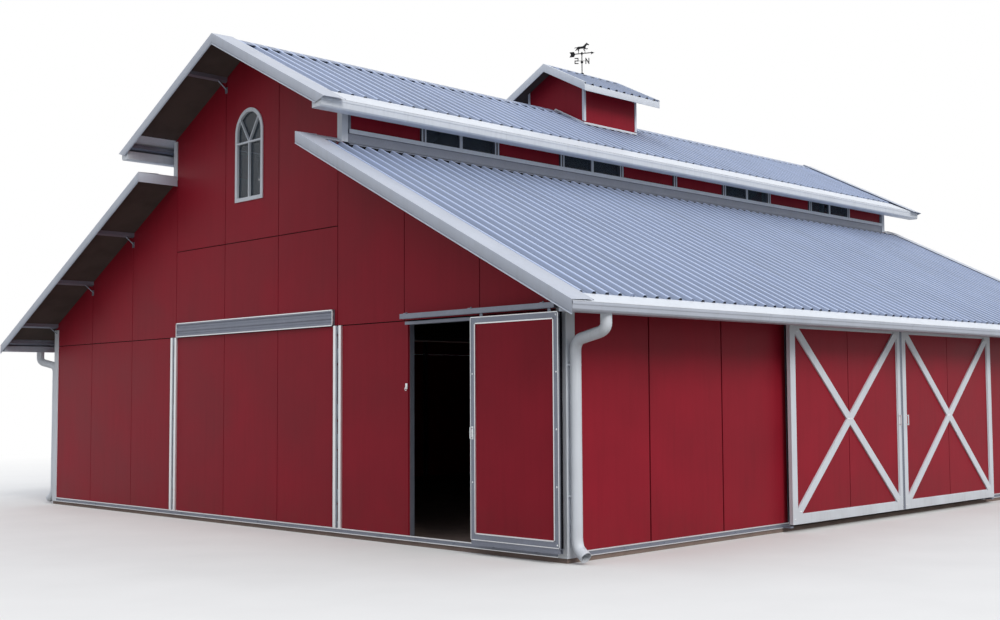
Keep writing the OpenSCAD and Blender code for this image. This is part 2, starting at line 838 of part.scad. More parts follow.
module clerestory_frame_right() clerestory_frame();
module clerestory_frame_left() mirror([1, 0, 0]) clerestory_frame();

// Sheet that fills one cell of a raised side wall
module cell_fill(i, x0, x1) {
    y = -half_l + i * cell;
    y0 = y + (i == 0 ? cell_end : cell_post_w / 2);
    y1 = y + cell - (i == length_panels - 1 ? cell_end : cell_post_w / 2);
    block(x0, x1, y0, y1, sill_z + sill_t, cell_top - 0.1);
}

// Red sheets in the cells without a window
module clerestory_panels() {
    color("#7E1F28") both_sides() for (i = [0:length_panels - 1])
        if (!is_window(i)) cell_fill(i, raised_x - fill_in, raised_x - 12);
}

// Two panes in each cell with a window
module clerestory_glass() {
    x0 = raised_x - fill_in;
    w = (cell - cell_post_w - mullion_w) / 2;
    color("#1E2630", 0.8) both_sides() for (i = window_cells, half = [-1, 0]) {
        y = -half_l + (i + 0.5) * cell + (half < 0 ? -mullion_w / 2 - w : mullion_w / 2);
        block(x0, x0 + glass_t, y, y + w, sill_z + sill_t, cell_top - 0.1);
    }
}

// White frame, transom, mullion and fan bars of the arched window
module arched_window_frame() {
    color("#EDEFF0") translate([arch_x, 0, 0]) along_y(-half_l - 14, -half_l + panel_t - 8) {
        difference() {
            arch_outline(0);
            arch_outline(arch_frame_w);
        }
        intersection() {
            arch_outline(arch_frame_w / 2);
            union() {
                translate([-arch_r, transom_z - transom_w / 2]) square([2 * arch_r, transom_w]);
                translate([-bar_w / 2 - 2, arch_bottom]) square([bar_w + 4, transom_z - arch_bottom]);
                for (turn = [-fan_turn, fan_turn]) translate([0, transom_z])
                    rotate(turn) translate([-bar_w / 2, 0]) square([bar_w, 2 * arch_r]);
            }
        }
    }
}

// One sheet of glass behind all the bars of the arched window
module arched_window_glass() {
    y = -half_l + panel_t - 8 + seat;
    color("#1E2630", 0.8) translate([arch_x, 0, 0]) along_y(y, y + glass_t) arch_outline(8);
}

// Ribbed sheets, drawn as plates of the ribs' full depth
module low_roof() {
    color("#8497AD") along_y(-roof_end + trim_t, roof_end - trim_t)
        low_band(raised_x, low_edge, 0, sheet_v);
}

module low_roof_right() low_roof();
module low_roof_left() mirror([1, 0, 0]) low_roof();

// Both halves of the raised roof, which meet at the ridge
module raised_roof() {
    color("#8497AD") both_sides() along_y(-roof_end + trim_t, roof_end - trim_t)
        raised_band(fit, raised_edge, 0, sheet_v);
}

// Band of one depth that follows both halves of the raised roof
module chevron(x1, up, d) {
    polygon([[-x1, raised_top(x1) + up], [0, raised_top(0) + up], [x1, raised_top(x1) + up],
        [x1, raised_top(x1) + up - d], [0, raised_top(0) + up - d], [-x1, raised_top(x1) + up - d]]);
}

// Folded cap over the ridge, on both sides of the cupola
module ridge_cap() {
    color("#7F8FA3") both_ends() along_y(-roof_end + rake_top_w + fit, -cup - cupola_edge / 2)
        chevron(ridge_cap_w, 10, 9.7);
}

// Folded trim along one low rake: face, top leg, and the legs that turn back at the high end
module rake_low() {
    x0 = raised_x - rake_start;
    foot = raised_x + flashing_w;
    up = low_rake_up;
    nip = x0 + rake_nip;
    low_end = low_top(x0) + up - rake_d + rake_nip / 4;
    along_y(-roof_end, -roof_end + trim_t) polygon([[x0, low_top(x0) + up], [low_out, low_top(low_out) + up],
        [low_out, low_top(low_out) + up - rake_d], [nip, low_top(nip) + up - rake_d], [x0, low_end]]);
    along_y(-roof_end, -roof_end + rake_top_w) low_band(x0, low_out, up, up - 0.3);
    along_y(-roof_end, -half_l - trim_t - fit) low_band(x0, foot, up, up - 0.3);
    block(x0, x0 + trim_t, -roof_end, -half_l - trim_t - fit, low_end, low_top(x0 + trim_t) + up - 1);
}

// White trim along the four rakes of the low roofs
module rake_trim_low() {
    color("#E9ECEE") both_sides() both_ends() rake_low();
}

// White trim along both rakes of the raised roof, with pointed tips
module rake_trim_raised() {
    tip = raised_out + rake_tip;
    nip = tip - rake_point;
    color("#E9ECEE") both_ends() {
        along_y(-roof_end, -roof_end + trim_t) polygon([[-tip, raised_top(tip) + rake_up],
            [0, raised_top(0) + rake_up], [tip, raised_top(tip) + rake_up],
            [nip, raised_top(nip) + rake_up - rake_d], [0, raised_top(0) + rake_up - rake_d],
            [-nip, raised_top(nip) + rake_up - rake_d]]);
        along_y(-roof_end, -roof_end + rake_top_w) chevron(tip, rake_up, rake_up - 0.3);
    }
}

// White strips in the roof planes, from the sheets' ends to the gutters
module eave_trim() {
    y0 = -roof_end + trim_t + fit;
    color("#EDEFF0") both_sides() along_y(y0, -y0) {
        roof_band(low_edge + fit, low_out, low_top(low_edge) - eave_drop, low_top(low_out) - 3, eave_t);
        roof_band(raised_edge + fit, raised_out, raised_top(raised_edge) - raised_drop,
            raised_top(raised_out) - 3, eave_t);
    }
}

// Apron where the low roofs meet the raised walls
module roof_flashing() {
    foot = raised_x + flashing_w;
    end = half_l - raised_corner_w - fit;
    color("#8C9AAB") both_sides() along_y(-end, end)
        polygon([[raised_x + fit, low_top(raised_x) + seat], [raised_x + fit, sill_z - 2],
            [raised_x + flashing_t, sill_z - 2],
            [raised_x + flashing_t, low_top(raised_x + flashing_t) + flashing_t + 2],
            [foot, low_top(foot) + flashing_t + 2], [foot, low_top(foot) + seat]]);
}

// Section of an open gutter with a slanted lower edge and a folded lip
module gutter_section(x1, z0, d) {
    x0 = x1 - gutter_w;
    z1 = z0 + d;
    t = gutter_t;
    polygon([[x0, z1], [x0, z0], [x1 - gutter_slant, z0], [x1, z0 + gutter_slant], [x1, z1],
        [x1 - gutter_lip, z1], [x1 - gutter_lip, z1 - t], [x1 - t, z1 - t], [x1 - t, z0 + gutter_slant + 2],
        [x1 - gutter_slant - 2, z0 + t], [x0 + t, z0 + t], [x0 + t, z1]]);
}

// Gutter from rake to rake with its end plates
module gutter(x1, z0, d) {
    y0 = -roof_end + trim_t + fit;
    color("#E9ECEE") {
        along_y(y0, -y0) gutter_section(x1, z0, d);
        both_ends() along_y(y0, y0 + gutter_t)
            polygon([[x1 - gutter_w, z0], [x1 - gutter_slant, z0], [x1, z0 + gutter_slant],
                [x1, z0 + d], [x1 - gutter_w, z0 + d]]);
    }
}

// Gutters under the edges of the low roofs
module low_gutters() {
    both_sides() gutter(low_out, low_gutter_z, gutter_d);
}

// Gutters under the edges of the raised roof
module raised_gutters() {
    both_sides() gutter(raised_out, raised_gutter_z, raised_gutter_d);
}

// Straight pipe and ball joints between the points of the spout's route
module pipe(from, to) {
    way = to - from;
    translate(from) rotate([0, acos(way[2] / norm(way)), atan2(way[1], way[0])])
        cylinder(h = norm(way), r = spout_r, $fn = 64);
}

// Pipe from the gutter back to the wall and down the corner, with a shoe at its foot
module downspout() {
    route = [[drop_x, drop_y, low_gutter_z - fit], [drop_x, drop_y, low_gutter_z - stub_h],
        [spout_x, spout_y, low_gutter_z - stub_h - spout_fall], [spout_x, spout_y, shoe_z],
        [spout_x + shoe_reach * drop_way[0], spout_y + shoe_reach * drop_way[1], spout_r + 8]];
    for (i = [1:len(route) - 1]) pipe(route[i - 1], route[i]);
    for (i = [1:len(route) - 2]) translate(route[i]) sphere(spout_r + 4, $fn = 64);
}

// One downspout at each corner of the low roofs
module downspouts() {
    color("#E9ECEE") both_sides() both_ends() downspout();
}

// Section of the cupola under its roof and over the main roof
module cupola_section() {
    polygon([[-cup, raised_top(cup) + seat], [0, raised_top(0) + seat], [cup, raised_top(cup) + seat],
        [cup, cup_top(cup) - cup_sheet_v - seat], [0, cup_top(0) - cup_sheet_v - seat],
        [-cup, cup_top(cup) - cup_sheet_v - seat]]);
}

// Red walls of the cupola, cut to the main roof and to its own
module cupola_walls() {
    color("#7E1F28") {
        both_ends() along_y(-cup, -cup + cupola_t) cupola_section();
        both_sides() along_y(-cup + cupola_t + fit, cup - cupola_t - fit) intersection() {
            cupola_section();
            translate([cup - cupola_t, 0]) square([cupola_t, 2 * cup_ridge]);
        }
    }
}

// White trim round the cupola's foot and on its corners
module cupola_trim() {
    t = cup_trim_t;
    color("#EDEFF0") {
        both_sides() both_ends() cupola_corner(cup_trim_w, t);
        both_ends() along_y(-cup - t, -cup) chevron(cup + t, cup_base_h, cup_base_h - 4);
        both_sides() along_y(-cup, cup) intersection() {
            translate([cup, 0]) square([t, 2 * cup_ridge]);
            chevron(cup + t, cup_base_h + 4, cup_base_h);
        }
    }
}

// White angle on a corner of the cupola, cut to the two roofs
module cupola_corner(w, t) {
    intersection() {
        along_z(0, 2 * cup_ridge) polygon([[cup - w, -cup], [cup, -cup], [cup, -cup + w], [cup + t, -cup + w],
            [cup + t, -cup - t], [cup - w, -cup - t]]);
        along_y(-cup - 2 * t, -cup + 2 * w) polygon([[cup - 2 * w, raised_top(cup - 2 * w) + 50],
            [cup + 2 * t, raised_top(cup + 2 * t) + 50],
            [cup + 2 * t, cup_top(cup + 2 * t) - cup_sheet_v - 4],
            [cup - 2 * w, cup_top(cup - 2 * w) - cup_sheet_v - 4]]);
    }
}

// Band of one depth that follows both halves of the cupola's roof
module cup_chevron(d) {
    low = cup_top(cup_out);
    polygon([[-cup_out, low], [0, cup_ridge], [cup_out, low],
        [cup_out, low - d], [0, cup_ridge - d], [-cup_out, low - d]]);
}

// Roof of the cupola with a folded edge all round
module cupola_roof() {
    edge_t = 10;
    color("#8497AD") {
        along_y(-cup_out, cup_out) cup_chevron(cup_sheet_v);
        both_ends() along_y(-cup_out, -cup_out + edge_t) cup_chevron(cupola_edge);
        both_sides() along_y(-cup_out, cup_out)
            translate([cup_out - edge_t, cup_top(cup_out) - cupola_edge]) square([edge_t, cupola_edge - 6]);
    }
}

// Mast with a ball and four short arms that carry the compass letters
module vane_mast() {
    color("#1C1C1E") {
        translate([0, 0, cup_ridge + seat]) cylinder(h = mast_h - 20, r = mast_r, $fn = 32);
        translate([0, 0, cup_ridge + seat]) cylinder(h = mast_h + 20, r = pin_r, $fn = 32);
        translate([0, 0, cup_ridge + seat]) cylinder(h = 8, r = 30, $fn = 32);
        translate([0, 0, arms_z - 20]) sphere(22, $fn = 32);
        for (turn = [0:90:270]) rotate([0, 0, turn + arm_turn]) {
            block(0, arm_l, -vane_t / 2, vane_t / 2, arms_z - vane_t / 2, arms_z + vane_t / 2);
            translate([arm_l + 12, 0, arms_z]) letter(turn / 90);
        }
    }
}

// Compass letters north, east, south and west, built from straight strokes
module letter(n) {
    h = letter_h;
    w = 0.59 * letter_h;
    strokes = [
        [[0, 0, 0, h], [0, h, w, 0], [w, 0, w, h]],
        [[0, 0, 0, h], [0, 0, w, 0], [0, h / 2, 0.8 * w, h / 2], [0, h, w, h]],
        [[0, 0, w, 0], [w, 0, w, h / 2], [0, h / 2, w, h / 2], [0, h / 2, 0, h], [0, h, w, h]],
        [[0, h, w / 4, 0], [w / 4, 0, w / 2, 0.6 * h], [w / 2, 0.6 * h, 0.75 * w, 0], [0.75 * w, 0, w, h]]];
    translate([-w / 2, vane_t / 2, -h / 2]) rotate([90, 0, 0]) linear_extrude(vane_t)
        for (s = strokes[n]) stroke(s);
}

// Straight stroke of a letter
module stroke(s) {
    angle = atan2(s[3] - s[1], s[2] - s[0]);
    reach = norm([s[2] - s[0], s[3] - s[1]]) + letter_t;
    translate([(s[0] + s[2]) / 2, (s[1] + s[3]) / 2]) rotate(angle)
        square([reach, letter_t], center = true);
}

// Arrow, hub and running horse, which turn together in the wind
module weathervane() {
    color("#1C1C1E") rotate([0, 0, vane_turn]) {
        difference() {
            translate([0, 0, arrow_z - 20 + 2 * seat]) cylinder(h = 44, r = 13, $fn = 40);
            translate([0, 0, arrow_z - 20]) cylinder(h = 41, r = pin_r + hub_gap, $fn = 40);
        }
        for (side = [-1, 1]) translate([side * (arrow_l / 4 - 5), 0, arrow_z + 4])
            cube([arrow_l / 2 - 32, vane_t + 1, 14], center = true);
        translate([0, vane_t / 2, 0]) rotate([90, 0, 0]) linear_extrude(vane_t) {
            translate([arrow_l / 2 - 40, arrow_z]) polygon([[-4, -24], [54, 0], [-4, 24], [6, 0]]);
            translate([-arrow_l / 2, arrow_z])
                polygon([[-14, 42], [62, 42], [84, 0], [62, -42], [-14, -42], [10, 0]]);
            for (x = [-0.22, 0.2]) translate([x * horse_l - 4, arrow_z]) square([8, 60]);
            translate([0, arrow_z + 46]) scale(horse_l / 215) horse();
        }
    }
}

// Side view of a running horse, 215 long
module horse() {
    polygon([[-108, 44], [-92, 56], [-70, 54], [-48, 62], [-10, 60], [20, 64], [42, 84], [62, 100],
        [70, 108], [74, 98], [96, 84], [104, 74], [94, 68], [72, 76], [56, 58], [52, 38], [70, 26],
        [84, 30], [86, 22], [68, 14], [44, 26], [34, 12], [46, 0], [36, -2], [22, 12], [26, 30],
        [-20, 32], [-44, 22], [-36, 4], [-46, -2], [-56, 10], [-62, 26], [-84, 10], [-94, 12],
        [-76, 34], [-70, 44], [-88, 46]]);
}

floor_slab();
base_channel();
corner_trim();
frame_posts();
frame_beams();
rafters();
wall_studs();
wall_girts();
purlins();
front_wall_lower();
front_wall_upper();
window_panel();
rear_wall_lower();
rear_wall_upper();
left_wall();
right_wall();
centre_jambs();
centre_header();
front_door_frame();
front_door_track();
front_leaf_frame();
front_leaf_panel();
front_leaf_pull();
door_latch();
side_door_frame();
side_door_track();
side_door_guides();
near_leaf_frame();
near_leaf_panels();
near_leaf_pull();
far_leaf_frame();
far_leaf_panels();
far_leaf_pull();
clerestory_frame_right();
clerestory_frame_left();
clerestory_panels();
clerestory_glass();
arched_window_frame();
arched_window_glass();
low_roof_right();
low_roof_left();
raised_roof();
ridge_cap();
rake_trim_low();
rake_trim_raised();
eave_trim();
roof_flashing();
low_gutters();
raised_gutters();
downspouts();
cupola_walls();
cupola_trim();
cupola_roof();
vane_mast();
weathervane();
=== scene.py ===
"""Looks of a red barn with a raised centre aisle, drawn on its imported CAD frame.

The file is laid out as a Blender add-on and is run as a script. All sizes are in metres in the frame of the
CAD model: +Z up, the door gable towards -Y, the wide side doors in the wall towards +X.
"""
import itertools
import math

import bmesh
import bpy
import numpy as np
from mathutils import Matrix, Vector


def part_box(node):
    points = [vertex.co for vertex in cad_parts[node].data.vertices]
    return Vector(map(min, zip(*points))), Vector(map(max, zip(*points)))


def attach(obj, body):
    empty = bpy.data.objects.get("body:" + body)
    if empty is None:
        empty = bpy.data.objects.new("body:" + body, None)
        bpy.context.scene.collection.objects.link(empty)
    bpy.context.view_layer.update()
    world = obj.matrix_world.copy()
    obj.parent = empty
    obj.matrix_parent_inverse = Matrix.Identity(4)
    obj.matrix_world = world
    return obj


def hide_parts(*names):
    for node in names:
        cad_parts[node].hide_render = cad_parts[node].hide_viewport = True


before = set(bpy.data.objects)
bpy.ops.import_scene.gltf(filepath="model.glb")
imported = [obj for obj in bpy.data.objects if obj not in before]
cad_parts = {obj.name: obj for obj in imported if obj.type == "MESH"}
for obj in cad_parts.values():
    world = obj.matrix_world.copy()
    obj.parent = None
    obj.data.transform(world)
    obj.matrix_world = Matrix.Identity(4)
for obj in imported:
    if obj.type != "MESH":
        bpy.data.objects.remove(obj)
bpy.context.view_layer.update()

bl_info = {
    "name": "Barn looks",
    "version": (1, 0, 0),
    "blender": (4, 5, 0),
    "location": "View3D > Sidebar > Barn",
    "description": "Draws sheets, trim, gutters, fixings and materials on the CAD frame of a barn",
    "category": "Add Mesh",
}


# Sizes measured on the CAD nodes

def low(node):
    """Lowest corner of a CAD node, as an array."""
    return np.array(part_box(node)[0])


def high(node):
    """Highest corner of a CAD node, as an array."""
    return np.array(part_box(node)[1])


def extent(node):
    """Lowest and highest corner of a CAD node."""
    return low(node), high(node)


FIT = 0.0005
HALF_W, HALF_L, SLAB = high("floor_slab")
BASE_TOP = high("base_channel")[2]
COLUMNS = round(HALF_W / high("window_panel")[0])
PANEL = 2 * HALF_W / COLUMNS
ROWS = round(2 * HALF_L / PANEL)
GROOVE = PANEL - 2 * high("window_panel")[0]
SEAM_1 = high("centre_jambs")[2]
SEAM_2 = low("window_panel")[2] - GROOVE / 2
RAISED_X, LOW_EDGE = low("low_roof_right")[0], high("low_roof_right")[0]
RAISED_EDGE = high("raised_roof")[0]
SEAM_X = math.floor(2 * RAISED_X / PANEL) / 2 * PANEL
ROOF_Y = high("low_roof_right")[1]
LOW_Z = high("low_roof_right")[2]
LOW_RISE = LOW_Z - low("low_roof_right")[2]
RAISED_RISE = high("raised_roof")[2] - low("raised_roof")[2]
SLOPE = (LOW_RISE - RAISED_RISE) / (LOW_EDGE - RAISED_X - RAISED_EDGE + FIT)
RIDGE_Z = high("raised_roof")[2] + SLOPE * FIT
TILT = math.hypot(1, SLOPE)
SHEET_D = (LOW_RISE - SLOPE * (LOW_EDGE - RAISED_X)) / TILT
NORMAL = np.array([SLOPE, 0, 1]) / TILT
RAKE_Y = high("rake_trim_low")[1]
RAKE_UP = high("rake_trim_raised")[2] - RIDGE_Z
LOW_OUT = high("rake_trim_low")[0]
RAISED_OUT = high("raised_gutters")[0]
RAISED_TIP = high("rake_trim_raised")[0]
ALONG_Y = np.array([0.0, 1.0, 0.0])
ALONG_X = np.array([1.0, 0.0, 0.0])
ALONG_Z = np.array([0.0, 0.0, 1.0])


def low_top(x):
    """Height of the low roofs' top at a distance from the middle."""
    return LOW_Z - SLOPE * (x - RAISED_X)


def raised_top(x):
    """Height of the raised roof's top at a distance from the middle."""
    return RIDGE_Z - SLOPE * x


def under_purlins(x, top):
    """Height of the purlins' underside at a distance from the middle."""
    return top(x) - (SHEET_D + PURLIN_W) * TILT


# Sizes of the CAD model that the boxes of its nodes don't show

LOW_RAKE_UP = 0.006
RAKE_D = low_top(LOW_OUT) + LOW_RAKE_UP - low("rake_trim_low")[2]
RETURN_X = RAISED_X - (high("rake_trim_low")[2] - LOW_RAKE_UP - LOW_Z) / SLOPE
POINT = 0.18
CORNER_W = 0.1125
SIDE_GROOVE = 0.020
GUTTER_W = 0.175
PURLIN_W = 0.042
LOW_PURLINS = [SEAM_X + PANEL, SEAM_X + 2 * PANEL, HALF_W - 0.06, LOW_OUT - GUTTER_W - PURLIN_W]
RAISED_PURLINS = [PANEL / 2, RAISED_OUT - GUTTER_W - PURLIN_W]
RIB_PITCH = 0.18288
FIRST_RIB = -ROOF_Y + 0.177
CORNER_OUT = 0.012
END_GAP = 0.0125
LEAF_RIM = 0.061
MULLION_CELLS = (1, 3, 6, 8)

# Sizes of the looks

BOARD_D = 0.0012
JOINT_GAP = 0.001
CAP_STEP = 0.366
HANGER_STEP = 0.6096
PIPE_BANDS = (0.62, 1.86)
SHARP = math.radians(30)

# Radius and height of the bolt heads

SCREW = (0.0045, 0.006)
LEAF_BOLT = (0.006, 0.007)
BASE_BOLT = (0.007, 0.008)
BRACE_BOLT = (0.008, 0.008)
TRACK_BOLT = (0.009, 0.012)
SIDE_TRACK_BOLT = (0.009, 0.010)


# Surfaces

def at(x, y, z):
    """Points with those coordinates, each of them one number or an array."""
    return np.stack(np.broadcast_arrays(x, y, z), axis=-1).reshape(-1, 3)


def rectangle(u0, u1, v0, v1):
    """Corners of a rectangle in turn."""
    return np.array([[u0, v0], [u1, v0], [u1, v1], [u0, v1]])


def grid_faces(rows, columns, wrap=False):
    """Four-sided faces over a grid of vertices, row by row; wrap joins the last column to the first."""
    i = np.arange(rows - 1)[:, None]
    j = np.arange(columns if wrap else columns - 1)[None, :]
    k = (j + 1) % columns
    corners = [i * columns + j, i * columns + k, (i + 1) * columns + k, (i + 1) * columns + j]
    return np.stack(corners, axis=-1).reshape(-1, 4)


def offset_line(points, thickness):
    """The line moved to its left by the thickness; each corner moves along the mitre of its two normals."""
    step = np.diff(points, axis=0)
    step /= np.linalg.norm(step, axis=1)[:, None]
    side = np.stack([-step[:, 1], step[:, 0]], axis=1)
    before = np.vstack([side[:1], side])
    after = np.vstack([side, side[-1:]])
    mitre = (before + after) / (1 + (before * after).sum(axis=1))[:, None]
    return points + thickness * mitre


def bent(points, radius, steps=3):
    """The line with curves for corners: (1-t)^2 a + 2t(1-t) corner + t^2 b for t from 0 to 1."""
    points = np.asarray(points, float)
    t = np.linspace(0, 1, steps + 1)[:, None]
    line = [points[:1]]
    for before, corner, after in zip(points, points[1:], points[2:]):
        reach = [min(radius, 0.45 * np.linalg.norm(p - corner)) for p in (before, after)]
        a = corner + (before - corner) * reach[0] / np.linalg.norm(before - corner)
        b = corner + (after - corner) * reach[1] / np.linalg.norm(after - corner)
        line.append((1 - t) ** 2 * a + 2 * t * (1 - t) * corner + t ** 2 * b)
    return np.vstack(line + [points[-1:]])


def carried(outline, origins, right, up):
    """Vertex (i, j) = origin_i + u_j * right + v_j * up: an outline (u, v) carried through origins."""
    outline, origins = np.asarray(outline, float), np.asarray(origins, float)
    right = np.broadcast_to(right, origins.shape)[:, None]
    up = np.broadcast_to(up, origins.shape)[:, None]
    return (origins[:, None] + outline[None, :, :1] * right + outline[None, :, 1:] * up).reshape(-1, 3)


def closed(rows, columns, end=None):
    """Faces over rings of vertices in order, with the end's faces over the first and the last ring."""
    end = np.arange(columns)[None] if end is None else end
    return [grid_faces(rows, columns, wrap=True), end, end[:, ::-1] + (rows - 1) * columns]


def folded(points, thickness, origins, right=ALONG_X, up=ALONG_Z):
    """Bent sheet: a line with a thickness to its left, carried through the origins as in carried()."""
    points = np.asarray(points, float)
    outline = np.vstack([points, offset_line(points, thickness)[::-1]])
    columns = len(outline)
    j = np.arange(len(points) - 1)
    end = np.stack([j, j + 1, columns - 2 - j, columns - 1 - j], axis=1)
    return carried(outline, origins, right, up), closed(len(origins), columns, end)


def prism(outline, origins, right=ALONG_X, up=ALONG_Z):
    """Solid of one closed outline carried through the origins as in carried(), with flat ends."""
    return carried(outline, origins, right, up), closed(len(origins), len(outline))


def tube(path, across, stations, radii, sides=28):
    """Pipe: point (k, a) = path_s + r_k * (cos a * across + sin a * across x tangent_s), s = stations_k.

    The path lies in one plane and across is that plane's normal, so the rings never twist; a station may
    come twice, which lets the surface turn back inside the pipe at an open end.
    """
    tangent = np.gradient(path, axis=0)
    tangent /= np.linalg.norm(tangent, axis=1)[:, None]
    up = np.cross(across, tangent)[stations]
    angle = np.linspace(0, 2 * math.pi, sides, endpoint=False)[None, :, None]
    ring = np.cos(angle) * across + np.sin(angle) * up[:, None]
    vertices = (path[stations][:, None] + np.asarray(radii)[:, None, None] * ring).reshape(-1, 3)
    return vertices, closed(len(stations), sides)


def turned(radii, heights, sides):
    """Turned shape: point (i, a) = (r_i cos a, r_i sin a, h_i), closed by a flat face at both ends."""
    angle = np.linspace(0, 2 * math.pi, sides, endpoint=False)
    radii, heights = np.array(radii)[:, None], np.array(heights)[:, None]
    return at(radii * np.cos(angle), radii * np.sin(angle), heights), closed(len(radii), sides)


def joined(parts):
    """One pair of vertices and faces from several parts."""
    shifts = np.cumsum([0] + [len(vertices) for vertices, _ in parts])
    faces = [array + shift for (_, arrays), shift in zip(parts, shifts) for array in arrays]
    return np.vstack([vertices for vertices, _ in parts]), faces


def scattered(template, places, direction):
    """Copies of a template at many places, with its own Z turned to the direction."""
    vertices, faces = template
    turn = np.array(Vector(direction).to_track_quat("Z", "Y").to_matrix())
    places = np.asarray(places, float).reshape(-1, 3)
    copies = (places[:, None] + (vertices @ turn.T)[None]).reshape(-1, 3)
    shift = (np.arange(len(places)) * len(vertices))[:, None, None]
    return copies, [(f[None] + shift).reshape(-1, f.shape[1]) for f in faces]


def chamfer_template():
    """Signs, inset marks and faces of a box whose edges and corners are cut off."""
    signs, insets = [], []
    for axis, side in itertools.product(range(3), (-1, 1)):
        for a, b in ((-1, -1), (1, -1), (1, 1), (-1, 1)):
            sign = [a, b]
            sign.insert(axis, side)
            signs.append(sign)
            insets.append([0 if k == axis else 1 for k in range(3)])
    signs, insets = np.array(signs), np.array(insets)
    owner = np.repeat([(axis, side) for axis in range(3) for side in (-1, 1)], 4, axis=0)
    flats = np.arange(24).reshape(6, 4)
    edges = []
    for (a, s), (b, t) in itertools.combinations([(k, m) for k in range(3) for m in (-1, 1)], 2):
        if a == b:
            continue
        first = np.flatnonzero((owner[:, 0] == a) & (owner[:, 1] == s) & (signs[:, b] == t))
        second = np.flatnonzero((owner[:, 0] == b) & (owner[:, 1] == t) & (signs[:, a] == s))
        c = 3 - a - b
        first = first[np.argsort(signs[first, c])]
        second = second[np.argsort(-signs[second, c])]
        edges.append([*first, *second])
    corners = [np.flatnonzero((signs == corner).all(axis=1))
               for corner in itertools.product((-1, 1), repeat=3)]
    return signs, insets, [flats, np.array(edges), np.array(corners)]


SIGNS, INSETS, BOX_FACES = chamfer_template()


def boxes(lows, highs, chamfer=0.001):
    """Boxes between rows of corners: vertex = centre + sign * (half size - inset mark * chamfer)."""
    lows, highs = np.atleast_2d(lows).astype(float), np.atleast_2d(highs).astype(float)
    centre, half = (lows + highs)[:, None] / 2, (highs - lows)[:, None] / 2
    vertices = (centre + SIGNS[None] * (half - INSETS[None] * np.minimum(chamfer, half / 2))).reshape(-1, 3)
    shift = (np.arange(len(lows)) * 24)[:, None, None]
    return vertices, [(f[None] + shift).reshape(-1, f.shape[1]) for f in BOX_FACES]


def mirrored(parts, *axes):
    """The parts with their mirror images in the planes through the middle across the axes."""
    parts = list(parts)
    for axis in axes:
        flip = np.ones(3)
        flip[axis] = -1
        parts += [(vertices * flip, faces) for vertices, faces in parts]
    return parts


def ring_of_boxes(low_corner, high_corner, width, plane, start, end):
    """Four boxes inside a rectangle's edges; plane 1 lies across Y and plane 0 across X."""
    (a0, z0), (a1, z1) = [(corner[1 - plane], corner[2]) for corner in (low_corner, high_corner)]
    spans = [(a0, a1, z0, z0 + width), (a0, a1, z1 - width, z1), (a0, a0 + width, z0, z1),
             (a1 - width, a1, z0, z1)]
    lows = np.insert([[a, c] for a, _, c, _ in spans], plane, start, axis=1)
    return boxes(lows, np.insert([[b, d] for _, b, _, d in spans], plane, end, axis=1), 0.0006)


def bolt_template(radius, height):
    """Six-sided head with a rounded top on a flat washer."""
    head = turned([radius, radius, radius * 0.75], [0.0012, height * 0.8, height], 6)
    return joined([head, turned([radius * 1.6, radius * 1.6], [0, 0.0014], 12)])


def heads(radius, height, towards, x, y, z):
    """Bolt heads of one size at those places, facing that way."""
    return scattered(bolt_template(radius, height), at(x, y, z), towards)


def added(name, data):
    """An object with that data, in the scene."""
    piece = bpy.data.objects.new(name, data)
    bpy.context.scene.collection.objects.link(piece)
    return piece


SLOTS_OF = {"white_enamel": "white_trim", "white_enamel_painted_shade": "white_trim", "roof_enamel": "roof_sheet",
            "galvanised_steel": "galvanised", "bright_steel": "bright_steel", "panel_joint": "red_panel"}


def build(name, parts, material, body="barn", replaces=(), slot=None):
    """One object at the origin from parts of vertices and faces, with its normals turned outwards.

    The slot, the material's own unless another is given, is worked out but not used; boards and foam have
    none.
    """
    vertices, faces = joined(parts)
    mesh = bpy.data.meshes.new(name)
    mesh.from_pydata(vertices, [], [face for array in faces for face in array.tolist()])
    shape = bmesh.new()
    shape.from_mesh(mesh)
    bmesh.ops.recalc_face_normals(shape, faces=shape.faces)
    shape.to_mesh(mesh)
    shape.free()
    mesh.polygons.foreach_set("use_smooth", np.ones(len(mesh.polygons), bool))
    mesh.set_sharp_from_angle(angle=SHARP)
    mesh.materials.append(bpy.data.materials[material])
    piece = added(name, mesh)
    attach(piece, body)
    if replaces:
        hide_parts(*replaces)
    slot = slot or SLOTS_OF.get(material)
    return piece


# Materials

def linear(colour):
    """The linear colour of a hex code given as sRGB."""
    values = [int(colour[i:i + 2], 16) / 255 for i in (1, 3, 5)]
    return [v / 12.92 if v <= 0.04045 else ((v + 0.055) / 1.055) ** 2.4 for v in values] + [1.0]


def per_metre(millimetres):
    """Pattern scale for a feature of that many millimetres."""
    return 1000 / millimetres


def tinted(colour, factor):
    """The linear colour made darker or paler by a factor."""
    return [min(1.0, v * factor) for v in colour[:3]] + [1.0]


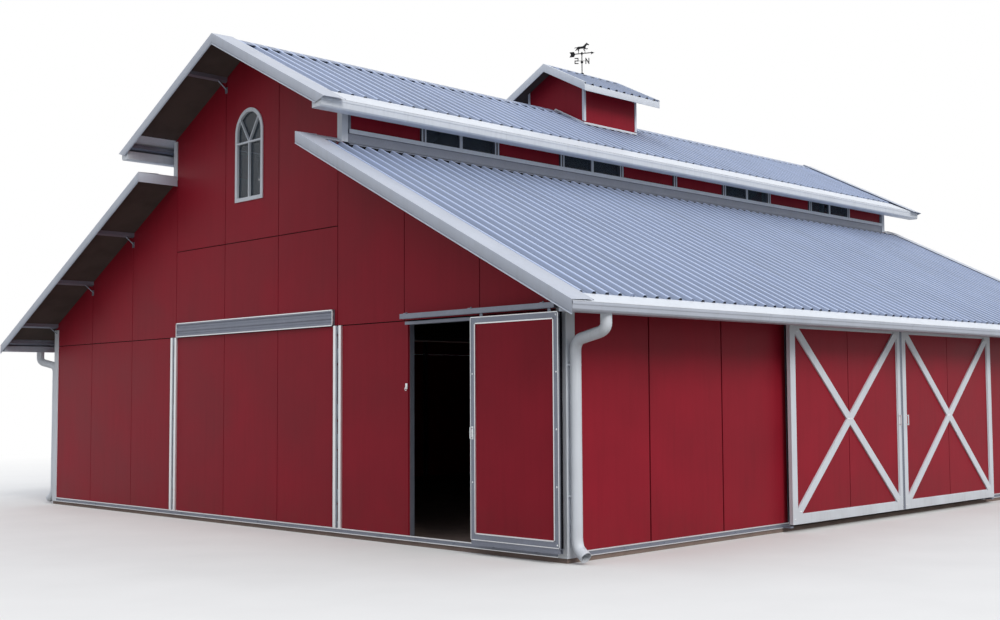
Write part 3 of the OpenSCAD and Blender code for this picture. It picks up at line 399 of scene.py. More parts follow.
class Shading:
    """Shader nodes of one material or world, and the place of the shaded point."""

    def __init__(self, owner, space="Object"):
        owner.use_nodes = True
        self.tree = owner.node_tree
        self.tree.nodes.clear()
        self.place = self.node("TexCoord").outputs[space]

    def node(self, kind, inputs=None, **settings):
        """Adds a shader node; inputs maps sockets to values or to the outputs that feed them."""
        new = self.tree.nodes.new("ShaderNode" + kind)
        for key, value in settings.items():
            setattr(new, key, value)
        for key, value in (inputs or {}).items():
            if isinstance(value, bpy.types.NodeSocket):
                self.tree.links.new(value, new.inputs[key])
            else:
                new.inputs[key].default_value = value
        return new

    def axis(self, k):
        """One coordinate of the shaded point."""
        return self.node("SeparateXYZ", {0: self.place}).outputs[k]

    def noise(self, millimetres, detail=3, rough=0.5, drawn=None):
        """Cloudy pattern from 0 to 1 with features of that size, drawn out along axes of small scale."""
        place = self.place
        if drawn:
            place = self.node("VectorMath", {0: place, 1: drawn}, operation="MULTIPLY").outputs[0]
        return self.node("TexNoise", {"Vector": place, "Scale": per_metre(millimetres), "Detail": detail,
                                      "Roughness": rough}).outputs[0]

    def cells(self, millimetres, output):
        """Pattern of cells about that wide."""
        cells = self.node("TexVoronoi", {"Vector": self.place, "Scale": per_metre(millimetres)})
        return cells.outputs[output]

    def between(self, value, low_end, high_end, to_low=0.0, to_high=1.0):
        """The value's place between two ends, clamped, given between two others."""
        return self.node("MapRange", {"Value": value, "From Min": low_end, "From Max": high_end,
                                      "To Min": to_low, "To Max": to_high}).outputs[0]

    def math(self, operation, a, b):
        """Two values put together."""
        return self.node("Math", {0: a, 1: b}, operation=operation).outputs[0]

    def blend(self, factor, a, b):
        """Colour a turned to colour b by the factor."""
        return self.node("Mix", {0: factor, 6: a, 7: b}, data_type="RGBA").outputs[2]

    def bumped(self, height, millimetres, under=None):
        """Normal of a surface raised by the height pattern, that many millimetres from 0 to 1."""
        inputs = {"Height": height, "Distance": millimetres / 1000, "Strength": 1.0}
        if under:
            inputs["Normal"] = under
        return self.node("Bump", inputs).outputs[0]

    def whitened(self, kind, output, factor, shader):
        """Ends the nodes with plain white laid over a shader by the factor."""
        white = self.node(kind, {"Color": (1, 1, 1, 1), "Strength": 1.0})
        mix = self.node("MixShader", {0: factor, 1: shader.outputs[0], 2: white.outputs[0]})
        self.node(output, {"Surface": mix.outputs[0]})


def coat(colour, rough, level=0.5, normal=None, metal=0.0):
    """Inputs of a principled shader."""
    inputs = {"Base Color": colour, "Roughness": rough, "Specular IOR Level": level, "Metallic": metal}
    return {**inputs, "Normal": normal} if normal else inputs


def red_enamel(t, s):
    """Baked red enamel on sheet steel: faint cloudiness, soft waves from rolling, dust near the ground."""
    cloud = t.noise(900, 4)
    colour = t.blend(t.between(cloud, 0.3, 0.7), tinted(s.red, 0.88), tinted(s.red, 1.1))
    streak = t.between(t.noise(60, 3, drawn=(1, 1, 0.08)), 0.45, 0.8, 0, 0.16)
    colour = t.blend(streak, colour, tinted(s.red, 0.45))
    cover = t.between(t.noise(180, 5, 0.65), 0.35, 0.75, 0.02, 0.22)
    dust = t.math("MULTIPLY", t.between(t.axis(2), 0.7, 0.05), cover)
    wave = t.bumped(t.noise(700, 1), 5)
    return coat(t.blend(dust, colour, linear("#5C3A30")), t.between(cloud, 0.2, 0.8, 0.4, 0.52), 0.1,
                t.bumped(t.noise(3.5, 2), 0.12, wave))


def white_coat(t, white):
    """White enamel on folded steel: rain streaks and thin grey grime low down."""
    streak = t.noise(45, 4, drawn=(1, 1, 0.1))
    cloud = t.noise(350, 4)
    colour = t.blend(t.between(cloud, 0.3, 0.8), white, tinted(white, 0.92))
    colour = t.blend(t.between(streak, 0.5, 0.85, 0, 0.2), colour, linear("#9FA0A0"))
    grime = t.math("MULTIPLY", t.between(t.axis(2), 0.4, 0.02, 0, 0.3), cloud)
    return coat(t.blend(grime, colour, linear("#7D7263")), t.between(cloud, 0.2, 0.8, 0.32, 0.46), 0.3,
                t.bumped(t.noise(260, 1), 1.2))


def white_enamel(t, s):
    """White enamel of the doors, corners, windows and pipes."""
    return white_coat(t, s.white)


def white_enamel_painted_shade(t, s):
    """Darker, bluer copy of the white enamel: painted shade on the rakes and low gutters."""
    return white_coat(t, s.painted_shade_white)


def roof_enamel(t, s):
    """Blue-grey enamel on ribbed steel: painted highlight on the rib crests, painted shade beside their
    feet, dust down the slope.
    """
    streak = t.noise(55, 4, 0.6, drawn=(0.05, 1, 0.05))
    rib = t.math("PINGPONG", t.math("ADD", t.axis(1), -FIRST_RIB), RIB_PITCH / 2)
    # Painted shade: darker bands beside the feet of the ribs
    painted_foot_shade = t.math("MULTIPLY", t.between(rib, 0.036, 0.040, 0, 0.6), t.between(rib, 0.072, 0.042))
    colour = t.blend(t.between(t.noise(1300, 4), 0.3, 0.7), tinted(s.roof, 0.92), tinted(s.roof, 1.08))
    colour = t.blend(painted_foot_shade, colour, tinted(s.roof, 0.3))
    # Painted highlight: the rib crests drawn about twice as light as the sheet
    colour = t.blend(t.between(rib, 0.016, 0.022, 0.7, 0), colour, tinted(s.roof, 2.1))
    colour = t.blend(t.between(streak, 0.45, 0.8, 0, 0.3), colour, linear("#7F858A"))
    return coat(colour, t.between(streak, 0.2, 0.8, 0.3, 0.45), 0.3, t.bumped(t.noise(420, 1), 1.5))


def underlay(t, s):
    """Brown-grey felt-faced board under the roof sheets."""
    fibre = t.noise(4, 5, 0.7)
    colour = t.blend(fibre, linear("#4A4340"), linear("#655C58"))
    colour = t.blend(t.between(t.noise(300, 3), 0.4, 0.8, 0, 0.5), colour, linear("#3E3735"))
    return coat(colour, 0.9, 0.1, t.bumped(fibre, 0.4))


def galvanised_steel(t, s):
    """Hot-dip zinc: crystals about 15 mm wide, each of a slightly different grey, dulled by weather."""
    shade = t.node("SeparateColor", {0: t.cells(15, "Color")}).outputs[0]
    colour = t.blend(shade, tinted(s.zinc, 0.93), tinted(s.zinc, 1.07))
    colour = t.blend(t.between(t.noise(220, 4), 0.35, 0.8, 0, 0.5), colour, tinted(s.zinc, 0.8))
    return coat(colour, t.between(shade, 0, 1, 0.44, 0.54), 0.3, t.bumped(t.noise(90, 2), 0.4), 0.6)


def bright_steel(t, s):
    """Bright zinc-plated steel with fine brushing; on the lips of the base, header and small leaf it paints
    a highlight on galvanised edges.
    """
    brush = t.noise(2, 3, drawn=(1, 1, 0.04))
    colour = t.blend(brush, linear("#B4B5BC"), linear("#CDCDD4"))
    return coat(colour, t.between(brush, 0, 1, 0.28, 0.42), metal=0.9)


def black_coat(t, s):
    """Black powder coat on cut steel, with its fine orange-peel surface."""
    colour = t.blend(t.noise(60, 3), linear("#101013"), linear("#1C1C21"))
    return coat(colour, 0.5, 0.25, t.bumped(t.noise(2.2, 2), 0.08))


def dark_glass(t, s):
    """Glass whose near-black colour paints the shade of the unlit loft behind it, with a film of dust."""
    dust = t.noise(120, 5, 0.6)
    # Painted shade: the near-black stands in for the dark loft seen through the glass
    colour = t.blend(t.between(dust, 0.5, 0.9, 0, 0.25), linear("#0A0B12"), linear("#1B1B24"))
    return coat(colour, t.between(dust, 0.3, 0.9, 0.04, 0.22), 0.2, t.bumped(t.noise(500, 1), 0.6))


def cast_concrete(t, s):
    """Cast concrete: cloudy cement, sand grains and small pits."""
    grain = t.noise(3, 4, 0.7)
    pit = t.between(t.cells(28, "Distance"), 0.05, 0.14)
    colour = t.blend(t.between(t.noise(260, 5, 0.6), 0.3, 0.7), linear("#7F6D66"), linear("#978279"))
    colour = t.blend(t.between(grain, 0.3, 0.7, 0, 0.4), colour, linear("#766D62"))
    face = t.bumped(pit, 0.8, t.bumped(grain, 0.5))
    return coat(t.blend(pit, linear("#5E564D"), colour), 0.88, 0.2, face)


def panel_joint(t, s):
    """Dark red shade and sealant deep in the joints between panels."""
    return coat(t.blend(t.noise(40, 3), linear("#090304"), linear("#130507")), 0.8, 0.1)


def black_foam_and_painted_shade(t, s):
    """Black closed-cell foam, with open pores on its cut face; on the posts of the raised walls and beside
    the small leaf its black is painted shade.
    """
    pores = t.noise(3, 3, 0.7)
    return coat(t.blend(pores, linear("#0C0C10"), linear("#191920")), 0.95, 0.05, t.bumped(pores, 0.5))


DRAWN = [red_enamel, white_enamel, white_enamel_painted_shade, roof_enamel, underlay, galvanised_steel, bright_steel,
         black_coat, dark_glass, cast_concrete, panel_joint, black_foam_and_painted_shade]

NODE_MATERIALS = {
    "cast_concrete": ["floor_slab"],
    "galvanised_steel": ["base_channel", "frame_posts", "frame_beams", "rafters", "wall_studs", "wall_girts",
                         "purlins", "centre_jambs", "centre_header", "front_door_frame", "front_door_track",
                         "front_leaf_frame", "side_door_frame", "side_door_guides", "clerestory_frame_right",
                         "clerestory_frame_left"],
    "red_enamel": ["front_wall_lower", "front_wall_upper", "window_panel", "rear_wall_lower",
                   "rear_wall_upper", "left_wall", "right_wall", "front_leaf_panel", "near_leaf_panels",
                   "far_leaf_panels", "clerestory_panels", "cupola_walls"],
    "white_enamel": ["corner_trim", "side_door_track", "near_leaf_frame", "far_leaf_frame",
                     "arched_window_frame", "eave_trim", "raised_gutters", "downspouts", "cupola_trim"],
    "white_enamel_painted_shade": ["rake_trim_low", "rake_trim_raised", "low_gutters"],
    "roof_enamel": ["low_roof_right", "low_roof_left", "raised_roof", "ridge_cap", "roof_flashing",
                    "cupola_roof"],
    "bright_steel": ["front_leaf_pull", "door_latch", "near_leaf_pull", "far_leaf_pull"],
    "black_coat": ["vane_mast", "weathervane"],
    "dark_glass": ["clerestory_glass", "arched_window_glass"],
}


def length(name, description, default):
    """A length among the settings."""
    return bpy.props.FloatProperty(name=name, description=description, default=default, unit="LENGTH")


def paint(name, description, default):
    """A colour among the settings, with its hex code."""
    return bpy.props.FloatVectorProperty(name=name, description=description, default=linear(default), size=4,
                                         subtype="COLOR", min=0, max=1)


def angle(name, description, degrees):
    """An angle among the settings."""
    return bpy.props.FloatProperty(name=name, description=description, default=math.radians(degrees),
                                   subtype="ANGLE")


class MaterialSettings(bpy.types.PropertyGroup):
    """Colours of the painted and plated steel."""
    red: paint("Red", "Red enamel of the walls", "#911E2D")
    white: paint("White", "White enamel of the trim", "#DEE3EA")
    # Darker, bluer copy of the white: painted shade on the rakes and low gutters
    painted_shade_white: paint("Weathered white", "Duller white of the rakes", "#BDC3CF")
    roof: paint("Roof", "Blue-grey enamel of the roofs", "#8C98B1")
    zinc: paint("Zinc", "Galvanised steel", "#858A97")


class BARN_OT_materials(bpy.types.Operator):
    """Draws the materials and puts one on every CAD node"""
    bl_idname = "barn.materials"
    bl_label = "Materials"

    def execute(self, context):
        for draw in DRAWN:
            t = Shading(bpy.data.materials.new(draw.__name__))
            shader = t.node("BsdfPrincipled", draw(t, context.scene.barn_materials))
            t.node("OutputMaterial", {"Surface": shader.outputs[0]})
        for name, nodes in NODE_MATERIALS.items():
            for key in nodes:
                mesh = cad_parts[key].data
                mesh.materials.clear()
                mesh.materials.append(bpy.data.materials[name])
        return {"FINISHED"}


class RoofSettings(bpy.types.PropertyGroup):
    """Sizes of the ribbed roof sheets."""
    pitch: length("Rib pitch", "Distance between ribs", RIB_PITCH)
    foot: length("Rib foot", "Width of a rib at its foot", 0.076)
    crest: length("Rib crest", "Width of a rib at its top", 0.032)
    gauge: length("Sheet thickness", "Thickness of the roof sheets", 0.0009)
    ribs: bpy.props.IntProperty(name="Ribs in a sheet", description="Ribs across one sheet's cover",
                                default=5)
    margin: length("First rib", "Distance from the rake to the first rib", FIRST_RIB + ROOF_Y)


def sheet_lines(y0, y1, depth, s):
    """Lines of ribbed sheets between two ends, as (along, up); each one's last rib laps over the next."""
    rib = np.array([[-s.foot / 2, -depth], [-s.crest / 2, -s.gauge], [s.crest / 2, -s.gauge],
                    [s.foot / 2, -depth]])
    lines = []
    cover = s.ribs * s.pitch
    for k in range(-1, math.ceil((y1 - y0) / cover)):
        centres = y0 + s.margin + k * cover + np.arange(s.ribs + 1) * s.pitch
        line = (rib[None] + np.stack([centres, 0 * centres], axis=1)[:, None]).reshape(-1, 2)
        line[-4:, 1] += 1.4 * s.gauge
        u = np.unique(np.clip(line[:, 0], y0, y1))
        if len(u) > 2:
            lines.append(np.stack([u, np.interp(u, line[:, 0], line[:, 1])], axis=1))
    return lines


def slope_line(x0, x1, top):
    """Two points on a roof's top over the middle of the building, from x0 to x1."""
    x = np.array([x0, x1])
    return at(x, 0, top(x))


def ridge_fold(reach, fall, hem, y, z):
    """Ridge cap of two sides with turned-down hems, between two ends."""
    line = [[-reach, -fall - hem], [-reach, -fall], [0, 0], [reach, -fall], [reach, -fall - hem]]
    return folded(bent(line, 0.004, 3), -0.001, at(0, y, z))


class BARN_OT_roof_sheets(bpy.types.Operator):
    """Ribbed sheets with laps, screws, closed end ribs and the board under them, on every main roof"""
    bl_idname = "barn.roof_sheets"
    bl_label = "Roof sheets"

    def slope(self, x0, x1, top, purlins, s):
        """Ribbed sheets down one slope, closures in their lapped ribs, screws beside each rib."""
        path = slope_line(x0, x1, top)
        parts = [folded(bent(line, 0.003, 2), s.gauge, path, ALONG_Y, NORMAL)
                 for line in sheet_lines(-ROOF_Y, ROOF_Y, SHEET_D - 0.0015, s)]
        foot, crest = s.foot / 2 - 0.004, s.crest / 2 - 0.002
        plug = [[-foot, -SHEET_D + 0.002], [foot, -SHEET_D + 0.002], [crest, -s.gauge - 0.001],
                [-crest, -s.gauge - 0.001]]
        end = slope_line(x1 - 0.010, x1 - 0.004, top)
        for y in np.arange(-ROOF_Y + s.margin, ROOF_Y - 0.05, s.ribs * s.pitch):
            parts.append(prism(plug, end + ALONG_Y * y, ALONG_Y, NORMAL))
        lines = purlins + [x1 - 0.06]
        y = np.arange(-ROOF_Y + s.margin + s.foot / 2 + 0.014, ROOF_Y - 0.02, s.pitch)
        x = np.repeat(lines, len(y))
        places = at(x, np.tile(y, len(lines)), top(x)) + NORMAL * (0.0015 + s.gauge - SHEET_D)
        return parts + [scattered(bolt_template(*SCREW), places, NORMAL)]

    def execute(self, context):
        s = context.scene.barn_roof
        slopes = [(RAISED_X + 0.02, LOW_EDGE, low_top, LOW_PURLINS[:3]),
                  (0.02, RAISED_EDGE, raised_top, RAISED_PURLINS[:1])]
        low_parts, raised_parts = [self.slope(*slope, s) for slope in slopes]
        left = mirrored(low_parts, 0)[len(low_parts):]
        build("low_sheets_right", low_parts, "roof_enamel", replaces=["low_roof_right"])
        build("low_sheets_left", left, "roof_enamel", replaces=["low_roof_left"])
        build("raised_sheets", mirrored(raised_parts, 0), "roof_enamel", replaces=["raised_roof"])
        section = rectangle(-ROOF_Y, ROOF_Y, -SHEET_D, BOARD_D - SHEET_D)
        boards = [prism(section, slope_line(x0, x1 - 0.004, top), ALONG_Y, NORMAL)
                  for x0, x1, top, _ in slopes]
        build("roof_boards", mirrored(boards, 0), "underlay")
        return {"FINISHED"}


class TrimSettings(bpy.types.PropertyGroup):
    """Sizes of the folded roof trim."""
    leg: length("Top leg", "Width of the rake trim on the roof", 0.29)
    gauge: length("Trim thickness", "Thickness of folded trim", 0.0015)
    cap: length("Ridge cap", "Length of each side of the ridge cap", 0.15)
    apron: length("Apron", "Reach of the flashing over the low roofs", 0.045)
    lift: length("Leg lift", "Rise of the rake trim's top leg to its hem", 0.010)


class BARN_OT_roof_trim(bpy.types.Operator):
    """Folded rake trim with its drip lip, ridge cap, flashing on foam, straps under the rakes"""
    bl_idname = "barn.roof_trim"
    bl_label = "Roof trim"

    def rakes(self, s):
        """Trim along the low rakes and over the raised ones: hemmed leg, face, groove and drip lip."""
        d = RAKE_D
        line = bent([[s.leg, s.lift - 0.011], [s.leg, s.lift], [0, 0], [0, 0.024 - d], [0.008, 0.021 - d],
                     [0.008, 0.015 - d], [-0.004, 0.006 - d], [-0.002, -d]], 0.002, 2)
        path = slope_line(RETURN_X, LOW_OUT, low_top) + [0, -RAKE_Y, LOW_RAKE_UP]
        top = low_top(RETURN_X) + LOW_RAKE_UP
        front, back, drip = -RAKE_Y + 0.003, -HALF_L - END_GAP, top - d + 0.011
        returns = boxes([[RETURN_X, front, drip], [RETURN_X - 0.006, front, drip]],
                        [[RETURN_X + 0.002, back, top - 0.004], [RETURN_X, back, drip + 0.010]])
        leg = rectangle(-RAKE_Y + s.leg - 0.01, back, 0, s.gauge)
        leg_path = slope_line(RETURN_X, RAISED_X + s.apron, low_top) + [0, 0, LOW_RAKE_UP + 0.001]
        low_trim = [folded(line, s.gauge, path, ALONG_Y), returns, prism(leg, leg_path, ALONG_Y)]
        build("low_rakes", mirrored(low_trim, 0, 1), "white_enamel_painted_shade", replaces=["rake_trim_low"])
        x = np.array([-RAISED_TIP, 0, RAISED_TIP])
        cut = POINT / d
        pointed = at([-cut, 0, cut], 0, [1 - SLOPE * cut, 1, 1 - SLOPE * cut])
        trim = folded(line, s.gauge, at(x, -RAKE_Y, raised_top(abs(x)) + RAKE_UP), ALONG_Y, pointed)
        build("raised_rakes", mirrored([trim], 1), "white_enamel_painted_shade", replaces=["rake_trim_raised"])

    def caps(self, s):
        """Ridge cap in front of and behind the cupola."""
        y0, y1 = -RAKE_Y + s.leg + FIT, -high("cupola_walls")[1] - 0.048
        cap = ridge_fold(s.cap, SLOPE * s.cap, 0.009, [y0, y1], RIDGE_Z + 0.004)
        y = np.arange(y0 + 0.1, y1, CAP_STEP)
        screws = heads(*SCREW, NORMAL, 0.1, y, RIDGE_Z + 0.0045 - 0.1 * SLOPE)
        build("ridge_caps", mirrored([cap], 1) + mirrored([screws], 0, 1), "roof_enamel",
              replaces=["ridge_cap"])

    def flashing(self, s):
        """Apron from the raised wall onto the ribs of the low roof, with foam behind its edge."""
        x0, foot = RAISED_X + 0.002, RAISED_X + s.apron
        end, top = high("roof_flashing")[1:]
        line = [[x0, top], [x0, low_top(x0) + 0.002], [foot, low_top(foot) + 0.002],
                [foot, low_top(foot) - 0.008]]
        apron = folded(bent(line, 0.003, 2), -0.001, at(0, [-end, end], 0))
        build("aprons", mirrored([apron], 0), "galvanised_steel", replaces=["roof_flashing"],
              slot="roof_sheet")
        foam = boxes([foot - 0.016, -end, low_top(foot) - 0.038], [foot - 0.006, end, low_top(foot) - 0.001])
        build("apron_foam", mirrored([foam], 0), "black_foam_and_painted_shade")

    def straps(self):
        """Slanting straps from the gables up to the purlins, with a small plate on the wall."""
        run, drop = 0.12, 0.10
        across = np.array([0, drop, run]) / math.hypot(run, drop)
        parts, plates = [], []
        for lines, top in ((LOW_PURLINS[:3], low_top), (RAISED_PURLINS[:1], raised_top)):
            for x in lines:
                under = under_purlins(x, top)
                path = [[0, -HALF_L - 0.003, under - drop], [0, -HALF_L - run, under]]
                parts.append(prism(rectangle(x - 0.014, x + 0.014, -0.002, 0.002), path, ALONG_X, across))
                plates.append(boxes([x - 0.03, -HALF_L - 0.004, under - drop - 0.05],
                                    [x + 0.03, -HALF_L, under - drop + 0.03]))
        build("rake_straps", mirrored(parts + plates, 0, 1), "galvanised_steel")

    def execute(self, context):
        s = context.scene.barn_trim
        self.rakes(s)
        self.caps(s)
        self.flashing(s)
        self.straps()
        return {"FINISHED"}


class RainSettings(bpy.types.PropertyGroup):
    """Sizes of the gutters and downspouts."""
    gauge: length("Gutter thickness", "Thickness of the gutters' metal", 0.0012)
    bead: length("Bead", "Height of the bead on the gutter's face", 0.024)
    pipe: length("Pipe", "Outer diameter of the downspouts", 0.112)
    seam: length("Gutter length", "Distance between the gutters' joints", 3.05)


class BARN_OT_rainwater(bpy.types.Operator):
    """Folded gutters with end plates, joints and hangers, and round downspouts with bends and open shoes"""
    bl_idname = "barn.rainwater"
    bl_label = "Gutters and downspouts"

    def gutter(self, x1, z0, z1, s):
        """One gutter with its end plates, joints and hangers along one eave."""
        d, w = z1 - z0, GUTTER_W
        x0, y1 = x1 - w, RAKE_Y - END_GAP
        line = np.array([[0, d], [0, 0], [w - 0.024, 0], [w - 0.006, 0.02], [w - 0.006, d - s.bead - 0.008],
                         [w, d - s.bead], [w, d], [w - 0.016, d], [w - 0.016, d - 0.01]])
        section = bent(line, 0.003, 2)
        sleeve = offset_line(section[:-6], -0.0016)
        parts = [folded(section, s.gauge, at(x0, [-y1, y1], z0))]
        for y in (-y1, y1 - 0.0015):
            parts.append(prism(line[:7], at(x0, [y, y + 0.0015], z0)))
        for y in np.arange(-y1 + s.seam, y1 - 0.3, s.seam):
            parts.append(folded(sleeve, 0.0015, at(x0, [y - 0.03, y + 0.03], z0)))
        y = np.arange(-y1 + 0.3, y1, HANGER_STEP)
        parts.append(boxes(at(x0 + 0.002, y - 0.012, z1 - 0.009), at(x1 - 0.004, y + 0.012, z1 - 0.006)))
        return parts

    def downspout(self, s):
        """Pipe at one corner: crimped stub, two bends, straight fall, shoe that opens outwards."""
        r = s.pipe / 2
        box_low, box_high = extent("downspouts")
        slant, top = 0.055, box_high[2]
        y = box_low[1] + r + 0.004 + slant
        wall_x = HALF_W + CORNER_OUT + r + 0.008
        way = np.array([LOW_OUT - GUTTER_W + r + 0.006 - wall_x, -slant, 0])
        run = np.linalg.norm(way)
        way /= run
        corners = [[run, top], [run, top - 0.15], [0, top - 0.23], [0, 0.15], [0.13, r + 0.010]]
        line = bent(corners, 0.11, 12)
        path = np.array([wall_x, y, 0]) + line[:, :1] * way + line[:, 1:] * ALONG_Z
        stub = np.linspace(0, 1, 7)[1:-1, None]
        path = np.vstack([path[:1], path[0] + stub * (path[1] - path[0]), path[1:]])
        # Crimps at the top, pleats in the lowest bend, a rolled rim, and the way back inside the pipe
        count = len(path)
        radii = np.full(count, r)
        radii[1:18:2] -= 0.0018
        radii[-14:-2:2] += 0.0012
        radii[-2:] = r + 0.003
        back = np.arange(count - 1, count - 10, -1)
        stations = np.concatenate([np.arange(count), back])
        radii = np.concatenate([radii, np.full(len(back), r - 0.0015)])
        parts = [tube(path, np.cross(ALONG_Z, way), stations, radii)]
        for z in PIPE_BANDS:
            band = turned([r + 0.0015, r + 0.0015], [0, 0.028], 28)
            parts.append((band[0] + [wall_x, y, z], band[1]))
            parts.append(boxes([HALF_W + CORNER_OUT, y - 0.045, z + 0.004], [wall_x, y - 0.041, z + 0.024]))
        return parts

    def execute(self, context):
        s = context.scene.barn_rain
        for name, x1, coat in (("low_gutters", LOW_OUT, "white_enamel_painted_shade"),
                               ("raised_gutters", RAISED_OUT, "white_enamel")):
            gutter = self.gutter(x1, low(name)[2], high(name)[2], s)
            build(name[:-1] + "_run", mirrored(gutter, 0), coat, replaces=[name])
        build("pipes", mirrored(self.downspout(s), 0, 1), "white_enamel", replaces=["downspouts"])
        return {"FINISHED"}


class WallSettings(bpy.types.PropertyGroup):
    """Sizes of the joints and fixings of the walls."""
    joint_in: length("Joint depth", "Distance of the joint's floor in the groove", 0.010)
    spacing: length("Bolt spacing", "Distance between the bolts of the base", 0.6096)


class BARN_OT_walls(bpy.types.Operator):
    """Joints between the panels, lips and bolts of the base channel"""
    bl_idname = "barn.walls"
    bl_label = "Walls"

    def joints(self, s):
        """Strips in the grooves of the gables and of the long walls."""
        g, side_g = GROOVE / 2 + JOINT_GAP, SIDE_GROOVE / 2 + JOINT_GAP
        y0, y1 = -HALF_L + s.joint_in, -HALF_L + 0.024
        strips = [([-HALF_W + 0.03, y0, SEAM_1 - g], [HALF_W - 0.03, y1, SEAM_1 + g]),
                  ([-SEAM_X, y0, SEAM_2 - g], [SEAM_X, y1, SEAM_2 + g])]
        for x in PANEL * np.arange(1, COLUMNS) - HALF_W:
            top = raised_top if abs(x) < RAISED_X else low_top
            strips.append(([x - g, y0, SLAB], [x + g, y1, under_purlins(abs(x), top) - 0.01]))
        gables = mirrored([boxes(*zip(*strips))], 1)
        x0, x1 = HALF_W - 0.024, HALF_W - 0.014
        wall_top, door = high("right_wall")[2], high("side_door_frame")[1]
        strips = [([x0, a, SEAM_1 - g], [x1, b, SEAM_1 + g])
                  for a, b in ((-HALF_L + 0.03, -door), (door, HALF_L - 0.03))]
        # The left wall is the right one mirrored, with joints in place of the doorway
        sides = []
        for over_door in (SEAM_1, SLAB):
            upright = [([x0, y - side_g, over_door if abs(y) < door - 0.02 else SLAB],
                        [x1, y + side_g, wall_top]) for y in PANEL * np.arange(1, ROWS) - HALF_L]
            sides.append(boxes(*zip(*upright, *strips)))
        sides[1] = mirrored(sides[1:], 0)[1]
        build("panel_joints", gables + sides, "panel_joint")

    def base(self, s):
        """Lips along the upper and lower edges of the base channel, whose brighter steel paints a highlight
        on its edges, and its bolts.
        """
        out = high("base_channel")[0] - HALF_W
        x, y = HALF_W + out, HALF_L + out
        door, wide, end = high("side_door_frame")[1], HALF_W - CORNER_W, HALF_L - CORNER_W
        lips = []
        for z0, z1, reach in ((BASE_TOP - 0.012, BASE_TOP, 0.006), (SLAB + 0.001, SLAB + 0.010, 0.008)):
            lips += mirrored([boxes([-wide, -y - reach, z0], [wide, -y, z1], 0.0008)], 1)
            lips.append(boxes([[-x - reach, -end, z0], [x, -end, z0], [x, door, z0]],
                              [[-x, end, z1], [x + reach, -door, z1], [x + reach, end, z1]], 0.0008))
        # Painted highlight: lips of bright steel on the galvanised channel
        build("base_lips_painted_highlight", lips, "bright_steel")
        z = (SLAB + BASE_TOP) / 2
        front = heads(*BASE_BOLT, (0, -1, 0), np.arange(-HALF_W + 0.2, HALF_W, s.spacing), -y, z)
        places = np.hstack([np.arange(a + 0.2, b, s.spacing) for a, b in ((-HALF_L, -door), (door, HALF_L))])
        right = heads(*BASE_BOLT, (1, 0, 0), x, places, z)
        build("base_bolts", mirrored([front], 1) + mirrored([right], 0), "galvanised_steel")

    def execute(self, context):
        s = context.scene.barn_walls
        self.joints(s)
        self.base(s)
        return {"FINISHED"}


class BaySettings(bpy.types.PropertyGroup):
    """Sizes of the slotted channels beside the centre bay."""
    width: length("Channel width", "Width of a channel over both flanges", 0.144)
    web: length("Web width", "Width of the sunk web", 0.060)
    gauge: length("Channel thickness", "Thickness of the channels' steel", 0.002)
    slot_w: length("Slot width", "Width of the slots", 0.015)
    hole: length("Keyhole", "Width of the hole over each slot", 0.027)


# Keyhole slots of the channels: distance below the top, length
KEYHOLES = [(0.095, 0.165), (0.43, 0.47), (1.075, 0.165), (1.41, 0.46), (2.02, 0.21)]


class BARN_OT_centre_bay(bpy.types.Operator):
    """Slotted channels beside the centre bay, and the lips of the header between them, whose brighter steel
    paints a highlight on its edges
    """
    bl_idname = "barn.centre_bay"
    bl_label = "Centre bay"

    def channel(self, s):
        """Two flanges and a sunk web with keyhole slots, upright at the seam."""
        jamb_low, jamb_high = extent("centre_jambs")
        z0, z1, out = jamb_low[2], jamb_high[2], -HALF_L - jamb_low[1]
        half, web, sunk = s.width / 2, s.web / 2, 0.012
        middle = jamb_high[0] - half
        path = at(middle, -HALF_L, [z0, z1])
        flange = bent([[-half, 0], [-half, -out], [-web, -out], [-web, sunk - out], [-web + 0.004, -sunk]],
                      0.003, 2)
        parts = [folded(flange, -s.gauge, path, ALONG_X, ALONG_Y),
                 folded(flange * [-1, 1], s.gauge, path, ALONG_X, ALONG_Y)]
        u = np.array([-web, -s.hole / 2, -s.slot_w / 2, s.slot_w / 2, s.hole / 2, web])
        v, keep = [z0], []
        for start, size in reversed(KEYHOLES):
            top = z1 - start
            v += [max(top - size, z0 + 0.02), top - s.hole, top]
            keep += [[1, 1, 1, 1, 1], [1, 1, 0, 1, 1], [1, 0, 0, 0, 1]]
        v.append(z1)
        keep.append([1] * 5)
        faces = grid_faces(len(v), len(u))[np.array(keep, bool).reshape(-1)]
        return parts, (at(u + middle, -HALF_L - sunk, np.array(v)[:, None]), [faces])

    def execute(self, context):
        s = context.scene.barn_bay
        parts, web = self.channel(s)
        build("channel_flanges", mirrored(parts, 0), "bright_steel", replaces=["centre_jambs"])
        piece = build("channel_webs", mirrored([web], 0), "galvanised_steel")
        solid = piece.modifiers.new("thickness", "SOLIDIFY")
        solid.thickness = s.gauge
        box_low, box_high = extent("centre_header")
        # Painted highlight: lips of bright steel around the galvanised header
        lips = ring_of_boxes(box_low, box_high, 0.012, 1, box_low[1] - 0.003, box_low[1] + 0.006)
        build("header_lips_painted_highlight", [lips], "bright_steel")
        return {"FINISHED"}


class DoorSettings(bpy.types.PropertyGroup):
    """Sizes of the lips and fixings of the doors."""
    lip: length("Lip", "Width of the turned lips of the leaf frames", 0.012)
    lip_out: length("Lip height", "Height of the lips over the frames", 0.004)


